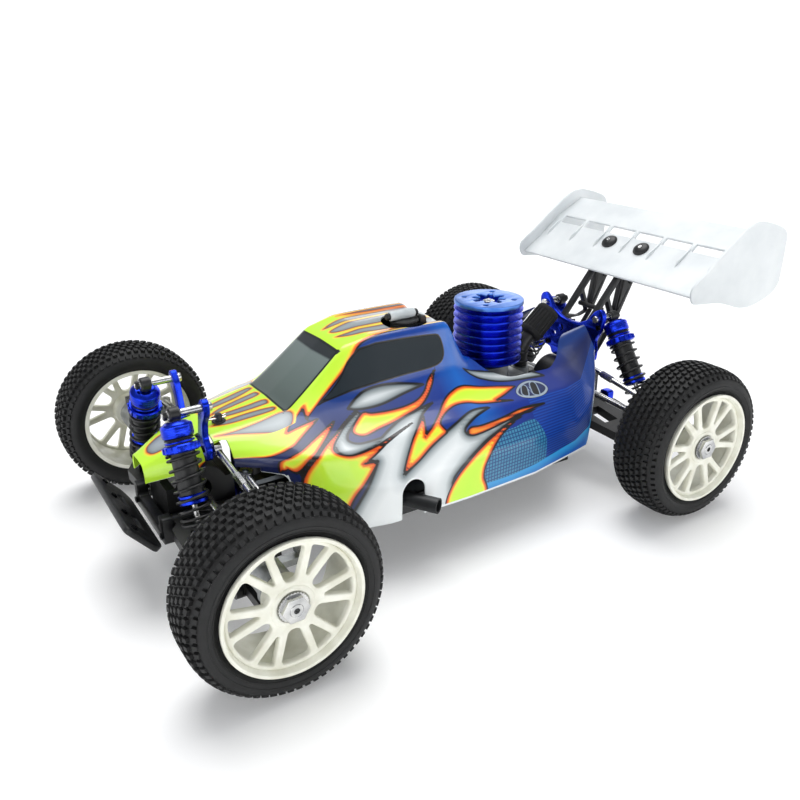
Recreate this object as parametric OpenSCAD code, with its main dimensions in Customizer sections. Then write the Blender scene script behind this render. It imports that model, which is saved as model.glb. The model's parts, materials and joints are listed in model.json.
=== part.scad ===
// Nitro off-road buggy, 1:8 scale, built as separate pieces that really move.
// X points forward, Y to the driver's left and Z up. The wheels stand on Z = 0.

/* [Whole car] */
// Distance between the front and rear axles
wheelbase = 325; // [300:1:340]
// Height of the chassis plate's underside above the ground
ride_height = 33; // [30:0.5:36]
// Thickness of the chassis plate
chassis_t = 3; // [2:0.5:4]

/* [Wheels] */
// Outer diameter of the tyre
tyre_d = 114; // [112:1:116]
// Outer diameter of the rim's barrel, which the tyre beads sit on
barrel_d = 78; // [76:1:80]
// Width of the rim from lip to lip
rim_w = 38; // [36:1:38]
// Number of spoke pairs
spoke_pairs = 6; // [4:1:8]
// Distance from the centre line to the front rims' outer lips
front_plane_y = 155.5; // [152:0.5:158]
// Distance from the centre line to the rear rims' outer lips
rear_plane_y = 148; // [146:0.5:150]
// Radius of the stub axle
axle_r = 4; // [3:0.5:4]

/* [Suspension] */
// Distance from the centre line to the arms' inner hinge pins
arm_in_y = 24; // [24:0.5:26]
// Height of the arms' inner hinge pins
arm_in_z = 48; // [46:0.5:50]
// How much lower the outer hinge pin is than the inner one
arm_drop = 10; // [8:1:12]
// Sideways span of a front arm between its hinge pins
front_span = 76; // [74:1:77]
// Sideways span of a rear arm between its hinge pins
rear_span = 70; // [68:1:71]
// Radius of the hinge pins
pin_r = 1.5; // [1.5:0.5:2]
// Height of the shocks' upper eyes
shock_top_z = 121; // [118:1:123]
// Radius of the springs, outside
spring_r = 10.25; // [9:0.25:10.5]

/* [Steering] */
// Distance from the centre line to the kingpin
kingpin_y = 120; // [118:1:121]
// Length of the steering arms, all alike so that the linkage stays parallel
steer_arm = 21; // [20:0.5:21]

/* [Body] */
// Thickness of the body shell
shell_t = 1.2; // [1:0.1:1.6]
// Half of the wing's span
wing_half = 97; // [90:1:100]
// Number of slots across the wing
wing_slots = 6; // [4:1:7]

/* [Engine] */
// Place of the cooling head along the car
head_x = -72; // [-76:1:-68]
// Place of the cooling head across the car
head_y = 9; // [6:1:12]
// Radius of the cooling fins
fin_r = 26; // [22:1:27]
// Number of cooling fins
fins = 9; // [6:1:10]

/* [Hidden] */
CORNERS = ["fl", "fr", "rl", "rr"];
CORNER_PARTS = ["arm", "hub_carrier", "upper_link", "shock_body", "spring",
                "shock_shaft", "drive_shaft", "rim", "tyre"];
$fn = 48;

fit = 0.05;
gap = 0.5;
tyre_r = tyre_d / 2;
barrel_r = barrel_d / 2;
deck_z = ride_height + chassis_t;
nose_x = wheelbase / 2 + tyre_r;
tail_x = -296;
frame_x = -(nose_x + tail_x) / 2;
case_half = [22, 19];
tower_x = -4.5;
tower_t = 4;
link_in = [25, 90];
ball_r = 3;
stud_r = 1;
ear_gap = 3.6;
eye_r = 4.5;
eye_lift = 9.3;
arm_t = 7;
shaft_r = 2.5;
shaft_in = [14, 62];
centre_z = 54;
saver_x = wheelbase / 2 - 36;
saver_y = 15;
plate_z = 70.5;
tie_in_z = 78;
lid_z = 144;
lid_hinge = [-7.5, lid_z + 1.5];
well_half = [[-36, -1], [-36, 29], [-50, 40], [-64, 48], [-102, 48], [-112, 43], [-124, 32], [-130, 29], [-160, 29],
             [-160, -1]];
outlet_foot = [53.5, 74, 50];
outlet_yaw = 32.5;
outlet_len = 32.5;
outlet_bore = 24;
outlet_r = 5.2;
arch_x = 46;
arch_r = 9;
tie_x = wheelbase / 2 - steer_arm;

// Body outline: each curve gives a height or a half width along X, front to back.
crown_z = [[195, 84], [178, 92], [160, 98.5], [120, 105], [104, 108], [62, 141], [40, 145], [0, 146],
           [-20, 144], [-34, 116], [-100, 112], [-152, 120]];
edge_y = [[195, 9], [178, 15], [160, 20], [138, 24], [104, 28], [62, 27], [40, 30], [-20, 31], [-152, 30]];
edge_z = [[195, 83.5], [178, 91.5], [160, 98], [120, 104], [104, 106.5], [62, 140], [40, 143.5],
          [-20, 141], [-34, 115], [-100, 110], [-152, 119]];
belt_y = [[195, 11], [178, 19], [160, 26], [138, 35], [120, 41], [-10, 41], [-34, 38], [-119, 38], [-152, 33]];
belt_z = [[195, 81], [160, 95.5], [120, 99], [104, 102], [84, 108], [-20, 113], [-34, 108], [-60, 104],
          [-119, 106], [-152, 116]];
deck_y = [[195, 12], [178, 21.5], [160, 30], [138, 42], [112, 56], [84, 58], [0, 57], [-60, 52], [-119, 49],
          [-152, 36]];
deck_h = [[195, 79], [160, 92], [112, 94], [62, 98], [-20, 98], [-100, 97], [-119, 99], [-152, 112]];
rail_y = [[195, 12.5], [178, 22.5], [160, 31.5], [138, 46], [120, 59], [104, 70], [84, 74], [0, 74],
          [-100, 69], [-119, 64], [-135, 52], [-152, 39]];
rail_z = [[195, 77], [160, 89], [84, 89], [0, 90.5], [-100, 90], [-119, 91], [-152, 108]];
side_y = [[195, 12.5], [178, 22.8], [160, 32], [138, 47], [120, 61], [104, 75], [84, 83], [62, 88], [0, 88],
          [-60, 86], [-115, 81], [-119, 78], [-135, 62], [-152, 42]];
side_z = [[195, 75], [160, 86.5], [120, 84], [112, 70], [62, 65], [-100, 66], [-115, 78], [-119, 84],
          [-135, 92], [-152, 104]];
sill_y = [[195, 12], [178, 22], [160, 31], [138, 46], [120, 60], [104, 73], [84, 82], [62, 87], [0, 87.5],
          [-60, 84.5], [-115, 80.5], [-119, 78.5], [-135, 63], [-152, 42.5]];
sill_z = [[195, 72], [160, 83], [120, 78], [112, 46], [84, 38.5], [-60, 38], [-115, 44], [-119, 81],
          [-135, 90], [-152, 102]];
shell_stations = [195, 186, 178, 169, 160, 149, 138, 129, 120, 112, 104, 94, 84, 73, 62, 51, 40, 20, 0, -20,
                  -34, -60, -80, -100, -115, -119, -127, -135, -152];

function is_front(c) = c[0] == "f";
function axle_x(c) = (is_front(c) ? 1 : -1) * wheelbase / 2;
function span(c) = is_front(c) ? front_span : rear_span;
function arm_len(c) = norm([span(c), arm_drop]);
function arm_tilt(c) = atan2(arm_drop, span(c));
function arm_out_y(c) = arm_in_y + span(c);
function plane_y(c) = is_front(c) ? front_plane_y : rear_plane_y;
// Place of the stub axle's ball, level with the kingpin on the front wheels.
function joint_y(c) = kingpin_y + plane_y(c) - front_plane_y;
// Fore-and-aft place of the shock, the upper link and their bolts.
function shock_x(c) = is_front(c) ? 14.5 : -19.5;
function link_x(c) = is_front(c) ? -10.6 : 12;
// Upper and lower eyes of the shock across the car, as [y, z].
function shock_top(c) = [is_front(c) ? 28.5 : 30, shock_top_z];
function lower_along(c) = is_front(c) ? 33 : 52;
function shock_low(c) = [
    arm_in_y + lower_along(c) * cos(arm_tilt(c)) + eye_lift * sin(arm_tilt(c)),
    arm_in_z - lower_along(c) * sin(arm_tilt(c)) + eye_lift * cos(arm_tilt(c))];
function shock_len(c) = norm(shock_low(c) - shock_top(c));
function shock_tilt(c) = atan2(shock_low(c)[0] - shock_top(c)[0], shock_top(c)[1] - shock_low(c)[1]);
function body_end(c) = is_front(c) ? 54 : 57;

// Half section of the shell at x, from the centre line out and down to the sill.
function half_section(x) = [
    [lookup(x, edge_y) * 0.5, lookup(x, crown_z) - 0.3],
    [lookup(x, edge_y), lookup(x, edge_z)],
    [lookup(x, belt_y), lookup(x, belt_z)],
    [lookup(x, deck_y), lookup(x, deck_h)],
    [lookup(x, rail_y), lookup(x, rail_z)],
    [lookup(x, side_y), lookup(x, side_z)],
    [lookup(x, sill_y), lookup(x, sill_z)]];
function reversed(list) = [for (i = [len(list) - 1 : -1 : 0]) list[i]];
function full_section(x) = concat(
    [for (p = reversed(half_section(x))) [-p[0], p[1]]],
    [[0, lookup(x, crown_z)]],
    half_section(x));
function normal_at(ring, i) = let (
    a = ring[max(i - 1, 0)],
    b = ring[min(i + 1, len(ring) - 1)],
    d = (b - a) / norm(b - a)) [-d[1], d[0]];
function inner_section(ring) = [for (i = [0 : len(ring) - 1]) ring[i] - shell_t * normal_at(ring, i)];
function closed_ring(x) = let (outer = full_section(x)) concat(outer, reversed(inner_section(outer)));

module placed() {
    translate([frame_x, 0, 0]) children();
}

module at_corner(c) {
    placed() translate([axle_x(c), 0, 0]) mirror([0, c[1] == "r" ? 1 : 0, 0]) children();
}

// Turns a shape drawn along Z so that it lies along Y, or along X.
module along_y() {
    rotate([-90, 0, 0]) children();
}

module along_x() {
    rotate([0, 90, 0]) children();
}

// Plate drawn in the YZ plane, centred on x = 0.
module plate_yz(thickness) {
    rotate([90, 0, 90]) linear_extrude(thickness, center = true) children();
}

// Plate drawn in the XZ plane, centred on y = 0.
module plate_xz(thickness) {
    rotate([90, 0, 0]) linear_extrude(thickness, center = true) children();
}

// Ring that holds a ball, drawn with its axis along Z.
module rod_end() {
    difference() {
        cylinder(r = ball_r + 1.4, h = 4.4, center = true);
        sphere(r = ball_r + fit);
    }
}

// Ball on a stud that comes up from a plate, drawn with the ball at the origin.
module ball_stud(length) {
    sphere(r = ball_r);
    translate([0, 0, -length]) cylinder(r = stud_r, h = length);
}

// Threaded rod with a rod end at each end, from [0, 0, 0] to reach along Y.
module link_rod(reach) {
    along_y() translate([0, 0, ball_r + 0.8]) cylinder(r = 2, h = reach - 2 * ball_r - 1.6);
    along_y() translate([0, 0, reach * 0.42]) cylinder(r = 2.6, h = reach * 0.16, $fn = 6);
}

module arm(c) {
    length = arm_len(c);
    lug = is_front(c) ? 1 : -1;
    color("dimgray") at_corner(c) translate([0, arm_in_y, arm_in_z]) rotate([-arm_tilt(c), 0, 0]) {
        difference() {
            union() {
                linear_extrude(arm_t, center = true) polygon([
                    [lug * -22, 0], [lug * -22, 10], [lug * -12.6, length - 14], [lug * -12.6, length],
                    [lug * 12.6, length], [lug * 12.6, length - 10],
                    [lug * 26, lower_along(c) + 6], [lug * 26, 12], [lug * 22, 8], [lug * 22, 0]]);
                along_x() cylinder(r = 4.5, h = 44, center = true);
                translate([0, length, 0]) along_x() cylinder(r = 4.5, h = 25.2, center = true);
                for (side = [-1, 1])
                    translate([shock_x(c) + side * (ear_gap + 1), lower_along(c), eye_lift / 2 + 1.5])
                        cube([2, 8, eye_lift + 3], center = true);
            }
            along_x() cylinder(r = pin_r + fit, h = 60, center = true);
            translate([0, length - 1.5, 0]) cube([17.2, 17, 20], center = true);
            translate([lug * -3, 26, 0]) cube([14, 22, 20], center = true);
        }
        translate([0, length, 0]) along_x() cylinder(r = pin_r, h = 27, center = true);
        translate([shock_x(c), lower_along(c), eye_lift]) along_x()
            cylinder(r = pin_r, h = 2 * ear_gap + 6, center = true);
    }
}

// Lug between the arm and the wheel: a wall with the hinge barrel at its foot.
module carrier_wall(c) {
    pin_y = arm_out_y(c);
    pin_z = arm_in_z - arm_drop;
    difference() {
        union() {
            translate([-8, pin_y - 3, pin_z]) cube([16, 8, link_in[1] - arm_drop + 3 - pin_z]);
            translate([0, pin_y, pin_z]) along_x() cylinder(r = 4.5, h = 16, center = true);
        }
        translate([0, pin_y, pin_z]) along_x() cylinder(r = pin_r + fit, h = 30, center = true);
        for (z = [tyre_r, tyre_r + 2.5]) translate([0, pin_y - 10, z]) along_y() cylinder(r = 7, h = 30);
    }
    translate([link_x(c), pin_y + 1, link_in[1] - arm_drop]) {
        sphere(r = ball_r);
        along_x() translate([0, 0, link_x(c) < 0 ? 0 : -6]) cylinder(r = stud_r, h = 6);
    }
}

// Barrel that carries the wheel bearings and surrounds the drive cup.
module bearing_barrel(c) {
    y0 = joint_y(c) - 8.5;
    translate([0, y0, tyre_r]) along_y() difference() {
        cylinder(r = 10, h = 25);
        translate([0, 0, -1]) cylinder(r = 7.4, h = 20.5);
        cylinder(r = axle_r + fit, h = 40);
    }
}

module hub_carrier(c) {
    color("dimgray") at_corner(c) {
        carrier_wall(c);
        if (is_front(c)) {
            for (z = [36, 70]) difference() {
                translate([-7, arm_out_y(c) + 4, z]) cube([14, 22, 6]);
                translate([0, kingpin_y, z - 1]) cylinder(r = 2 + fit, h = 8);
                translate([0, arm_out_y(c), arm_in_z - arm_drop]) along_x()
                    cylinder(r = 4.5, h = 30, center = true);
            }
        } else {
            bearing_barrel(c);
            for (side = [-1, 1])
                translate([side * 6.5 - 1.5, arm_out_y(c) + 4, tyre_r - 14]) cube([3, 8, 28]);
        }
    }
}

module knuckle(c) {
    color("gray") at_corner(c) {
        difference() {
            union() {
                bearing_barrel(c);
                translate([0, kingpin_y, 42 + gap]) cylinder(r = 6, h = 6);
                translate([0, kingpin_y, 64]) cylinder(r = 6, h = 6 - gap);
                translate([-steer_arm - 3, kingpin_y - 3, 59]) cube([steer_arm - 4, 6, 4]);
            }
            translate([0, kingpin_y - 20, tyre_r]) along_y() cylinder(r = 7.4, h = 31);
        }
        translate([0, kingpin_y, 36]) cylinder(r = 2, h = 8);
        translate([0, kingpin_y, 68]) cylinder(r = 2, h = 8);
        translate([-steer_arm, kingpin_y, tie_in_z - arm_drop]) ball_stud(6);
    }
}

module upper_link(c) {
    color("silver") at_corner(c) translate([link_x(c), link_in[0], link_in[1]]) rotate([-arm_tilt(c), 0, 0]) {
        link_rod(arm_len(c));
        for (y = [0, arm_len(c)]) translate([0, y, 0]) along_x() rod_end();
    }
}

// Frame of a shock: origin at its upper eye, Z down along the shock.
module on_shock(c) {
    at_corner(c) translate([shock_x(c), shock_top(c)[0], shock_top(c)[1]]) rotate([180 + shock_tilt(c), 0, 0])
        children();
}

module shock_body(c) {
    color("blue") on_shock(c) difference() {
        union() {
            along_x() cylinder(r = eye_r, h = 7, center = true);
            translate([0, 0, 4]) cylinder(r1 = 7.5, r2 = 9.5, h = 1.2);
            translate([0, 0, 5.2]) cylinder(r = 9.5, h = 8.8);
            translate([0, 0, 13]) cylinder(r = 7.5, h = body_end(c) - 14);
            translate([0, 0, 18]) cylinder(r = spring_r + 0.6, h = 5);
            translate([0, 0, body_end(c) - 6]) cylinder(r = 8.6, h = 6);
        }
        along_x() cylinder(r = pin_r + fit, h = 20, center = true);
        translate([0, 0, 16]) cylinder(r = 6, h = body_end(c) - 20);
        cylinder(r = 1.75 + fit, h = body_end(c) + 1);
    }
}

module spring(c) {
    color("black") on_shock(c) translate([0, 0, 23 + fit]) difference() {
        cylinder(r = spring_r, h = shock_len(c) - 9.5 - 23 - 2 * fit);
        translate([0, 0, -1]) cylinder(r = spring_r - 1.4, h = 100);
    }
}

module shock_shaft(c) {
    length = shock_len(c);
    color("silver") on_shock(c) difference() {
        union() {
            translate([0, 0, 32]) cylinder(r = 1.75, h = length - 36);
            translate([0, 0, 32]) cylinder(r = 5.9, h = 3);
            translate([0, 0, length - 9.5]) cylinder(r = spring_r, h = 2);
            translate([0, 0, length - 8]) cylinder(r = 3, h = 6);
            translate([0, 0, length]) along_x() cylinder(r = eye_r, h = 6, center = true);
        }
        translate([0, 0, length]) along_x() cylinder(r = 3.2, h = 20, center = true);
    }
}

module drive_shaft(c) {
    reach = norm([joint_y(c) - shaft_in[0], shaft_in[1] - tyre_r]);
    tilt = atan2(shaft_in[1] - tyre_r, joint_y(c) - shaft_in[0]);
    color("silver") at_corner(c) translate([0, shaft_in[0], shaft_in[1]]) rotate([-90 - tilt, 0, 0]) {
        cylinder(r = shaft_r - 0.5, h = reach);
        sphere(r = 4);
        translate([0, 0, reach]) sphere(r = 3.5);
        translate([0, 0, 16]) cylinder(r = shaft_r, h = reach - 34);
    }
}

module spoke(angle_in, angle_out) {
    inner = 11 * [cos(angle_in), sin(angle_in)];
    outer = (barrel_r - 1.5) * [cos(angle_out), sin(angle_out)];
    along = outer - inner;
    translate(inner) rotate(atan2(along[1], along[0])) translate([0, -1.9]) square([norm(along), 3.8]);
}

module rim(c) {
    plane = plane_y(c);
    color("ivory") at_corner(c) translate([0, plane, tyre_r]) along_y() {
        difference() {
            union() {
                translate([0, 0, -rim_w]) cylinder(r = barrel_r, h = rim_w);
                for (z = [-2.5, -rim_w]) translate([0, 0, z]) cylinder(r = barrel_r + 1.5, h = 2.5);
            }
            translate([0, 0, -rim_w - 1]) cylinder(r = barrel_r - 2.2, h = rim_w + 2);
        }
        translate([0, 0, -9.5]) linear_extrude(6) for (k = [0 : spoke_pairs - 1]) rotate(k * 360 / spoke_pairs) {
            spoke(-7, -13.5);
            spoke(7, 13.5);
        }
        difference() {
            translate([0, 0, -17.5]) cylinder(r = 13, h = 14.5);
            translate([0, 0, -18]) cylinder(r = 9.9, h = 7, $fn = 6);
            translate([0, 0, -18]) cylinder(r = axle_r + fit, h = 20);
        }
    }
    color("silver") at_corner(c) translate([0, joint_y(c), tyre_r]) along_y() {
        difference() {
            translate([0, 0, -6]) cylinder(r = 7, h = 17);
            translate([0, 0, -7]) cylinder(r = 6, h = 16);
        }
        translate([0, 0, 10]) cylinder(r = axle_r, h = plane - joint_y(c) - 8.5);
        translate([0, 0, 17]) cylinder(r = 9.7, h = 7.4, $fn = 6);
        translate([0, 0, plane - joint_y(c) - 2.9]) cylinder(r = 8, h = 4, $fn = 6);
    }
}

module tyre(c) {
    color("black") at_corner(c) translate([0, plane_y(c), tyre_r]) along_y() {
        rotate_extrude($fn = 96) polygon([
            [barrel_r + fit, -2.7], [41, -2.7], [42.5, 0.6], [47, 1.6], [52, 0.8], [55.5, -3], [tyre_r, -9],
            [tyre_r, -30], [55.5, -36], [52, -39.8], [47, -40.6], [42.5, -39], [41, -35.3],
            [barrel_r + fit, -35.3], [barrel_r + fit, -31], [42, -31], [44, -36], [47, -37.6], [51, -36.6],
            [53, -33], [54, -29], [54, -10], [53, -6], [51, -2.2], [47, -1.4], [44, -2.5], [42, -7],
            [barrel_r + fit, -7]]);
        rotate_extrude($fn = 96) translate([barrel_r + 4, -29]) square([9, 20]);
    }
}

module servo_saver() {
    color("dimgray") placed() translate([saver_x, saver_y, 0]) difference() {
        union() {
            translate([0, 0, 55.5]) cylinder(r = 7, h = 14.5);
            translate([0, 0, 57]) cylinder(r = 9, h = 3);
            translate([-steer_arm, -4, 65]) cube([steer_arm, 8, 5]);
            translate([-steer_arm, 0, 65]) cylinder(r = 4, h = 5);
            translate([-steer_arm, 0, 65]) cylinder(r = 2, h = 9);
        }
        translate([0, 0, 50]) cylinder(r = 3 + fit, h = 30);
    }
}

module steering_plate() {
    ear_x = tie_x - saver_x + steer_arm;
    color("silver") placed() translate([saver_x - steer_arm, 0, 0]) {
        translate([0, 0, plate_z]) linear_extrude(3) difference() {
            union() {
                translate([-4, -kingpin_y + front_span - 5]) square([8, 2 * (kingpin_y - front_span) + 10]);
                for (side = [-1, 1])
                    translate([0, side * (kingpin_y - front_span) - 4]) square([ear_x + 4, 8]);
                translate([0, saver_y]) circle(r = 5);
            }
            translate([0, saver_y]) circle(r = 2 + fit);
        }
        for (side = [-1, 1])
            translate([ear_x, side * (kingpin_y - front_span), tie_in_z]) ball_stud(6);
    }
}

module tie_rod(side) {
    reach = norm([front_span, arm_drop]);
    color("silver") placed() translate([tie_x, side * (kingpin_y - front_span), tie_in_z])
        mirror([0, side < 0 ? 1 : 0, 0]) rotate([-atan2(arm_drop, front_span), 0, 0]) {
            link_rod(reach);
            rod_end();
            translate([0, reach, 0]) rotate([atan2(arm_drop, front_span), 0, 0]) rod_end();
        }
}

module chassis_outline() {
    polygon([[190, -24], [190, 24], [120, 26], [95, 60], [-100, 62], [-135, 26], [-190, 24],
             [-190, -24], [-135, -26], [-100, -62], [95, -60], [120, -26]]);
}

module chassis_plate() {
    color("slategray") placed() {
        translate([0, 0, ride_height]) linear_extrude(chassis_t) difference() {
            chassis_outline();
            translate([-34.5, -15]) square([7, 30]);
        }
        for (y = [-saver_y, saver_y]) translate([saver_x, y, deck_z]) {
            cylinder(r = 3, h = 38);
            cylinder(r = 5, h = 15);
        }
    }
}

module side_guards() {
    color("black") placed() for (side = [-1, 1]) mirror([0, side < 0 ? 1 : 0, 0]) {
        translate([-98, 63, deck_z]) cube([190, 15, 1.6]);
        difference() {
            translate([-98, 76, deck_z]) cube([190, 2, 12.5]);
            translate([38, 75, deck_z + 6]) cube([28, 4, 10]);
        }
    }
}

module front_bumper() {
    color("black") placed() {
        translate([197.5, 0, deck_z]) rotate([0, -50, 0]) difference() {
            translate([0, -42, 0]) cube([32, 84, 4]);
            for (y = [-24, 8]) translate([12, y, -1]) cube([5, 16, 6]);
        }
    }
}

// Gear case with its two outputs; the drive shafts' inner ends plunge in them.
module end_case(x, inward) {
    translate([x, 0, 0]) difference() {
        union() {
            translate([-case_half[0], -case_half[1], deck_z])
                cube([2 * case_half[0], 2 * case_half[1], 34 - chassis_t]);
            translate([0, 0, 60]) along_y() cylinder(r = 18, h = 2 * case_half[1], center = true);
        }
        for (side = [-1, 1]) translate([0, side * 14, shaft_in[1]]) along_y()
            cylinder(r = 7, h = 14, center = true);
        translate([inward * case_half[0], 0, centre_z]) along_x() cylinder(r = 3.5, h = 14, center = true);
    }
}

module gear_cases() {
    color("black") placed() {
        end_case(wheelbase / 2, -1);
        end_case(-wheelbase / 2, 1);
        for (x = [-41, 5]) translate([x, 0, 0]) difference() {
            translate([-3, -14, deck_z]) cube([6, 28, 30]);
            translate([0, 0, centre_z]) along_x() cylinder(r = shaft_r + fit, h = 20, center = true);
        }
    }
}

module centre_drive() {
    half = wheelbase / 2 - case_half[0];
    color("silver") placed() translate([0, 0, centre_z]) along_x() {
        translate([0, 0, -half - 4]) cylinder(r = shaft_r, h = 2 * half + 8);
        translate([0, 0, -27]) cylinder(r = 14, h = 20);
        translate([0, 0, -33]) cylinder(r = 19.5, h = 4);
        translate([0, 0, -3]) cylinder(r = 14, h = 2);
    }
}

module hinge_blocks() {
    color("blue") placed() for (end = [-1, 1]) translate([end * wheelbase / 2, 0, 0]) {
        for (side = [-1, 1]) {
            translate([side * 26.5 - 3.5, -31, deck_z + gap]) difference() {
                cube([7, 62, 18]);
                translate([-1, 9, 10]) cube([9, 44, 9]);
            }
            translate([0, side * arm_in_y, arm_in_z]) along_x() cylinder(r = pin_r, h = 48, center = true);
        }
    }
}

// Bolt that carries a shock's upper eye, and the stud of the upper link.
module tower_studs(c) {
    reach = shock_x(c) - tower_x;
    for (side = [-1, 1]) {
        translate([tower_x, side * shock_top(c)[0], shock_top_z]) rotate([0, reach > 0 ? 90 : -90, 0]) {
            cylinder(r = pin_r, h = abs(reach) + 7);
            cylinder(r = 3.4, h = abs(reach) - 3.5 - gap);
            translate([0, 0, abs(reach) + 3.5 + gap]) cylinder(r = 3.4, h = 2.5);
        }
        translate([link_x(c), side * link_in[0], link_in[1]]) {
            sphere(r = ball_r);
            rotate([0, link_x(c) < tower_x ? 90 : -90, 0]) cylinder(r = stud_r, h = abs(link_x(c) - tower_x));
        }
    }
}

module tower_plate(half) {
    translate([tower_x, 0, 0]) plate_yz(tower_t) union() {
        polygon(half);
        mirror([1, 0]) polygon(half);
    }
}

module front_shock_tower() {
    color("blue") placed() translate([wheelbase / 2, 0, 0]) {
        tower_plate([[0, 78 + gap], [17, 78 + gap], [22, 84], [30, 85], [31, 93], [25, 99], [27, 110], [33, 117],
                     [33, 125], [28, 127], [22, 121], [18, 106], [14, 93], [0, 92]]);
        tower_studs("fl");
    }
}

module rear_shock_tower() {
    color("blue") placed() translate([-wheelbase / 2, 0, 0]) {
        tower_plate([[0, 78 + gap], [19, 78 + gap], [21, 84], [30, 85], [31, 94], [29, 102], [35, 113], [37, 125],
                     [33, 130], [27, 127], [20, 118], [10, 113], [0, 112]]);
        tower_studs("rl");
    }
}

module wing() {
    profile = [[-196, 149], [-214, 160.5], [-228, 171], [-232, 175], [-262, 189.5]];
    skin = 2.2;
    pitch = 2 * (wing_half - 8) / wing_slots;
    color("white") placed() {
        difference() {
            rotate([90, 0, 0]) linear_extrude(2 * wing_half - 2, center = true)
                polygon(concat(profile, [for (p = reversed(profile)) p + [0.5, skin]]));
            for (k = [0 : wing_slots - 1])
                translate([-233.5, -wing_half + 10 + k * pitch, 165]) cube([5, pitch - 4, 20]);
        }
        for (side = [-1, 1]) translate([0, side * (wing_half - 1), 0]) plate_xz(2)
            polygon([[-189, 150], [-189, 158], [-205, 167], [-232, 187], [-253, 199], [-262, 199.5], [-291, 191],
                     [tail_x, 185], [tail_x, 146], [-289, 139], [-263, 132], [-245, 134], [-225, 141],
                     [-205, 143], [-193, 144]]);
    }
}

module wing_mount() {
    color("black") placed() {
        for (side = [-1, 1]) translate([0, side * 14.5, 0]) plate_xz(5) difference() {
            polygon([[-169 - gap, 84], [-169 - gap, 112], [-201, 150.5], [-213, 158], [-229, 169.5],
                     [-226, 158], [-203, 112], [-182, 84]]);
            polygon([[-174, 90], [-174, 109], [-190, 109], [-181, 90]]);
            polygon([[-178, 114], [-193, 132], [-204, 132], [-195, 114]]);
            polygon([[-197, 137], [-206, 147], [-215, 147], [-208, 137]]);
        }
        translate([-182, -12, 84]) cube([10, 24, 5]);
    }
}

module body_shell() {
    rings = [for (x = shell_stations) let (ring = closed_ring(x)) [for (p = ring) [x, p[0], p[1]]]];
    count = len(rings[0]);
    last = len(rings) - 1;
    points = [for (ring = rings) for (p = ring) p];
    cap = [for (i = [0 : count / 2 - 2]) [i, i + 1, count - 2 - i, count - 1 - i]];
    walls = [for (s = [0 : last - 1]) for (i = [0 : count - 1])
        [s * count + i, (s + 1) * count + i, (s + 1) * count + (i + 1) % count, s * count + (i + 1) % count]];
    color("orange") placed() difference() {
        polyhedron(points, concat(
            [for (f = cap) reversed(f)],
            [for (f = cap) [for (i = f) last * count + i]],
            [for (f = walls) reversed(f)]));
        // Opening over the engine, out to the rear edge
        translate([0, 0, 80]) linear_extrude(60) for (side = [-1, 1]) polygon([for (p = well_half) [p[0], side * p[1]]]);
        translate([-48, -29, 80]) cube([20, 58, 28]);
        // Slots for the front tower's horns
        for (side = [-1, 1]) translate([158 - 3.5, side * 24.5 - 11.5, 70]) cube([7, 23, 60]);
        // Room for the front upper links in bump, and for the steering plate's studs
        for (side = [-1, 1]) translate([146.5, side * 40 - 13, 70]) cube([11, 26, 27.5]);
        translate([133, -60, 70]) cube([17, 120, 13]);
        // Hole for the tank's filler neck
        translate([5, 12, 120]) cylinder(r = 16.5, h = 40);
        // Arch for the exhaust outlet
        translate([arch_x - arch_r, 70, 30]) cube([2 * arch_r, 30, 27]);
        translate([arch_x, 70, 57]) along_y() cylinder(r = arch_r, h = 30);
    }
}

module engine_block() {
    color("silver") placed() {
        translate([head_x - 26, head_y - 15, 58]) cube([52, 30, 30]);
        translate([head_x, head_y, 86]) cylinder(r = 17, h = 12);
        for (side = [-1, 1]) translate([head_x - 22, head_y + side * 19 - 4, deck_z]) cube([44, 8, 26]);
        translate([head_x - fin_r - 8, head_y, 66]) cylinder(r = 7, h = 22);
        translate([head_x - fin_r - 10, head_y - 5, 66]) cube([12, 10, 10]);
    }
}

module cooling_head() {
    z0 = 98 + gap;
    pitch = (148 - z0) / fins;
    color("blue") placed() translate([head_x, head_y, 0]) difference() {
        union() {
            translate([0, 0, z0]) cylinder(r = 16, h = 148 - z0);
            for (k = [0 : fins - 1]) translate([0, 0, z0 + k * pitch + pitch - 2.4]) cylinder(r = fin_r, h = 2.4);
        }
        for (a = [0 : 45 : 135]) rotate(a) translate([-14, -2.5, 145]) cube([28, 5, 4]);
        for (a = [45 : 90 : 315]) rotate(a) translate([11.5, 0, 100]) cylinder(r = 1.6, h = 50);
    }
}

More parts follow.
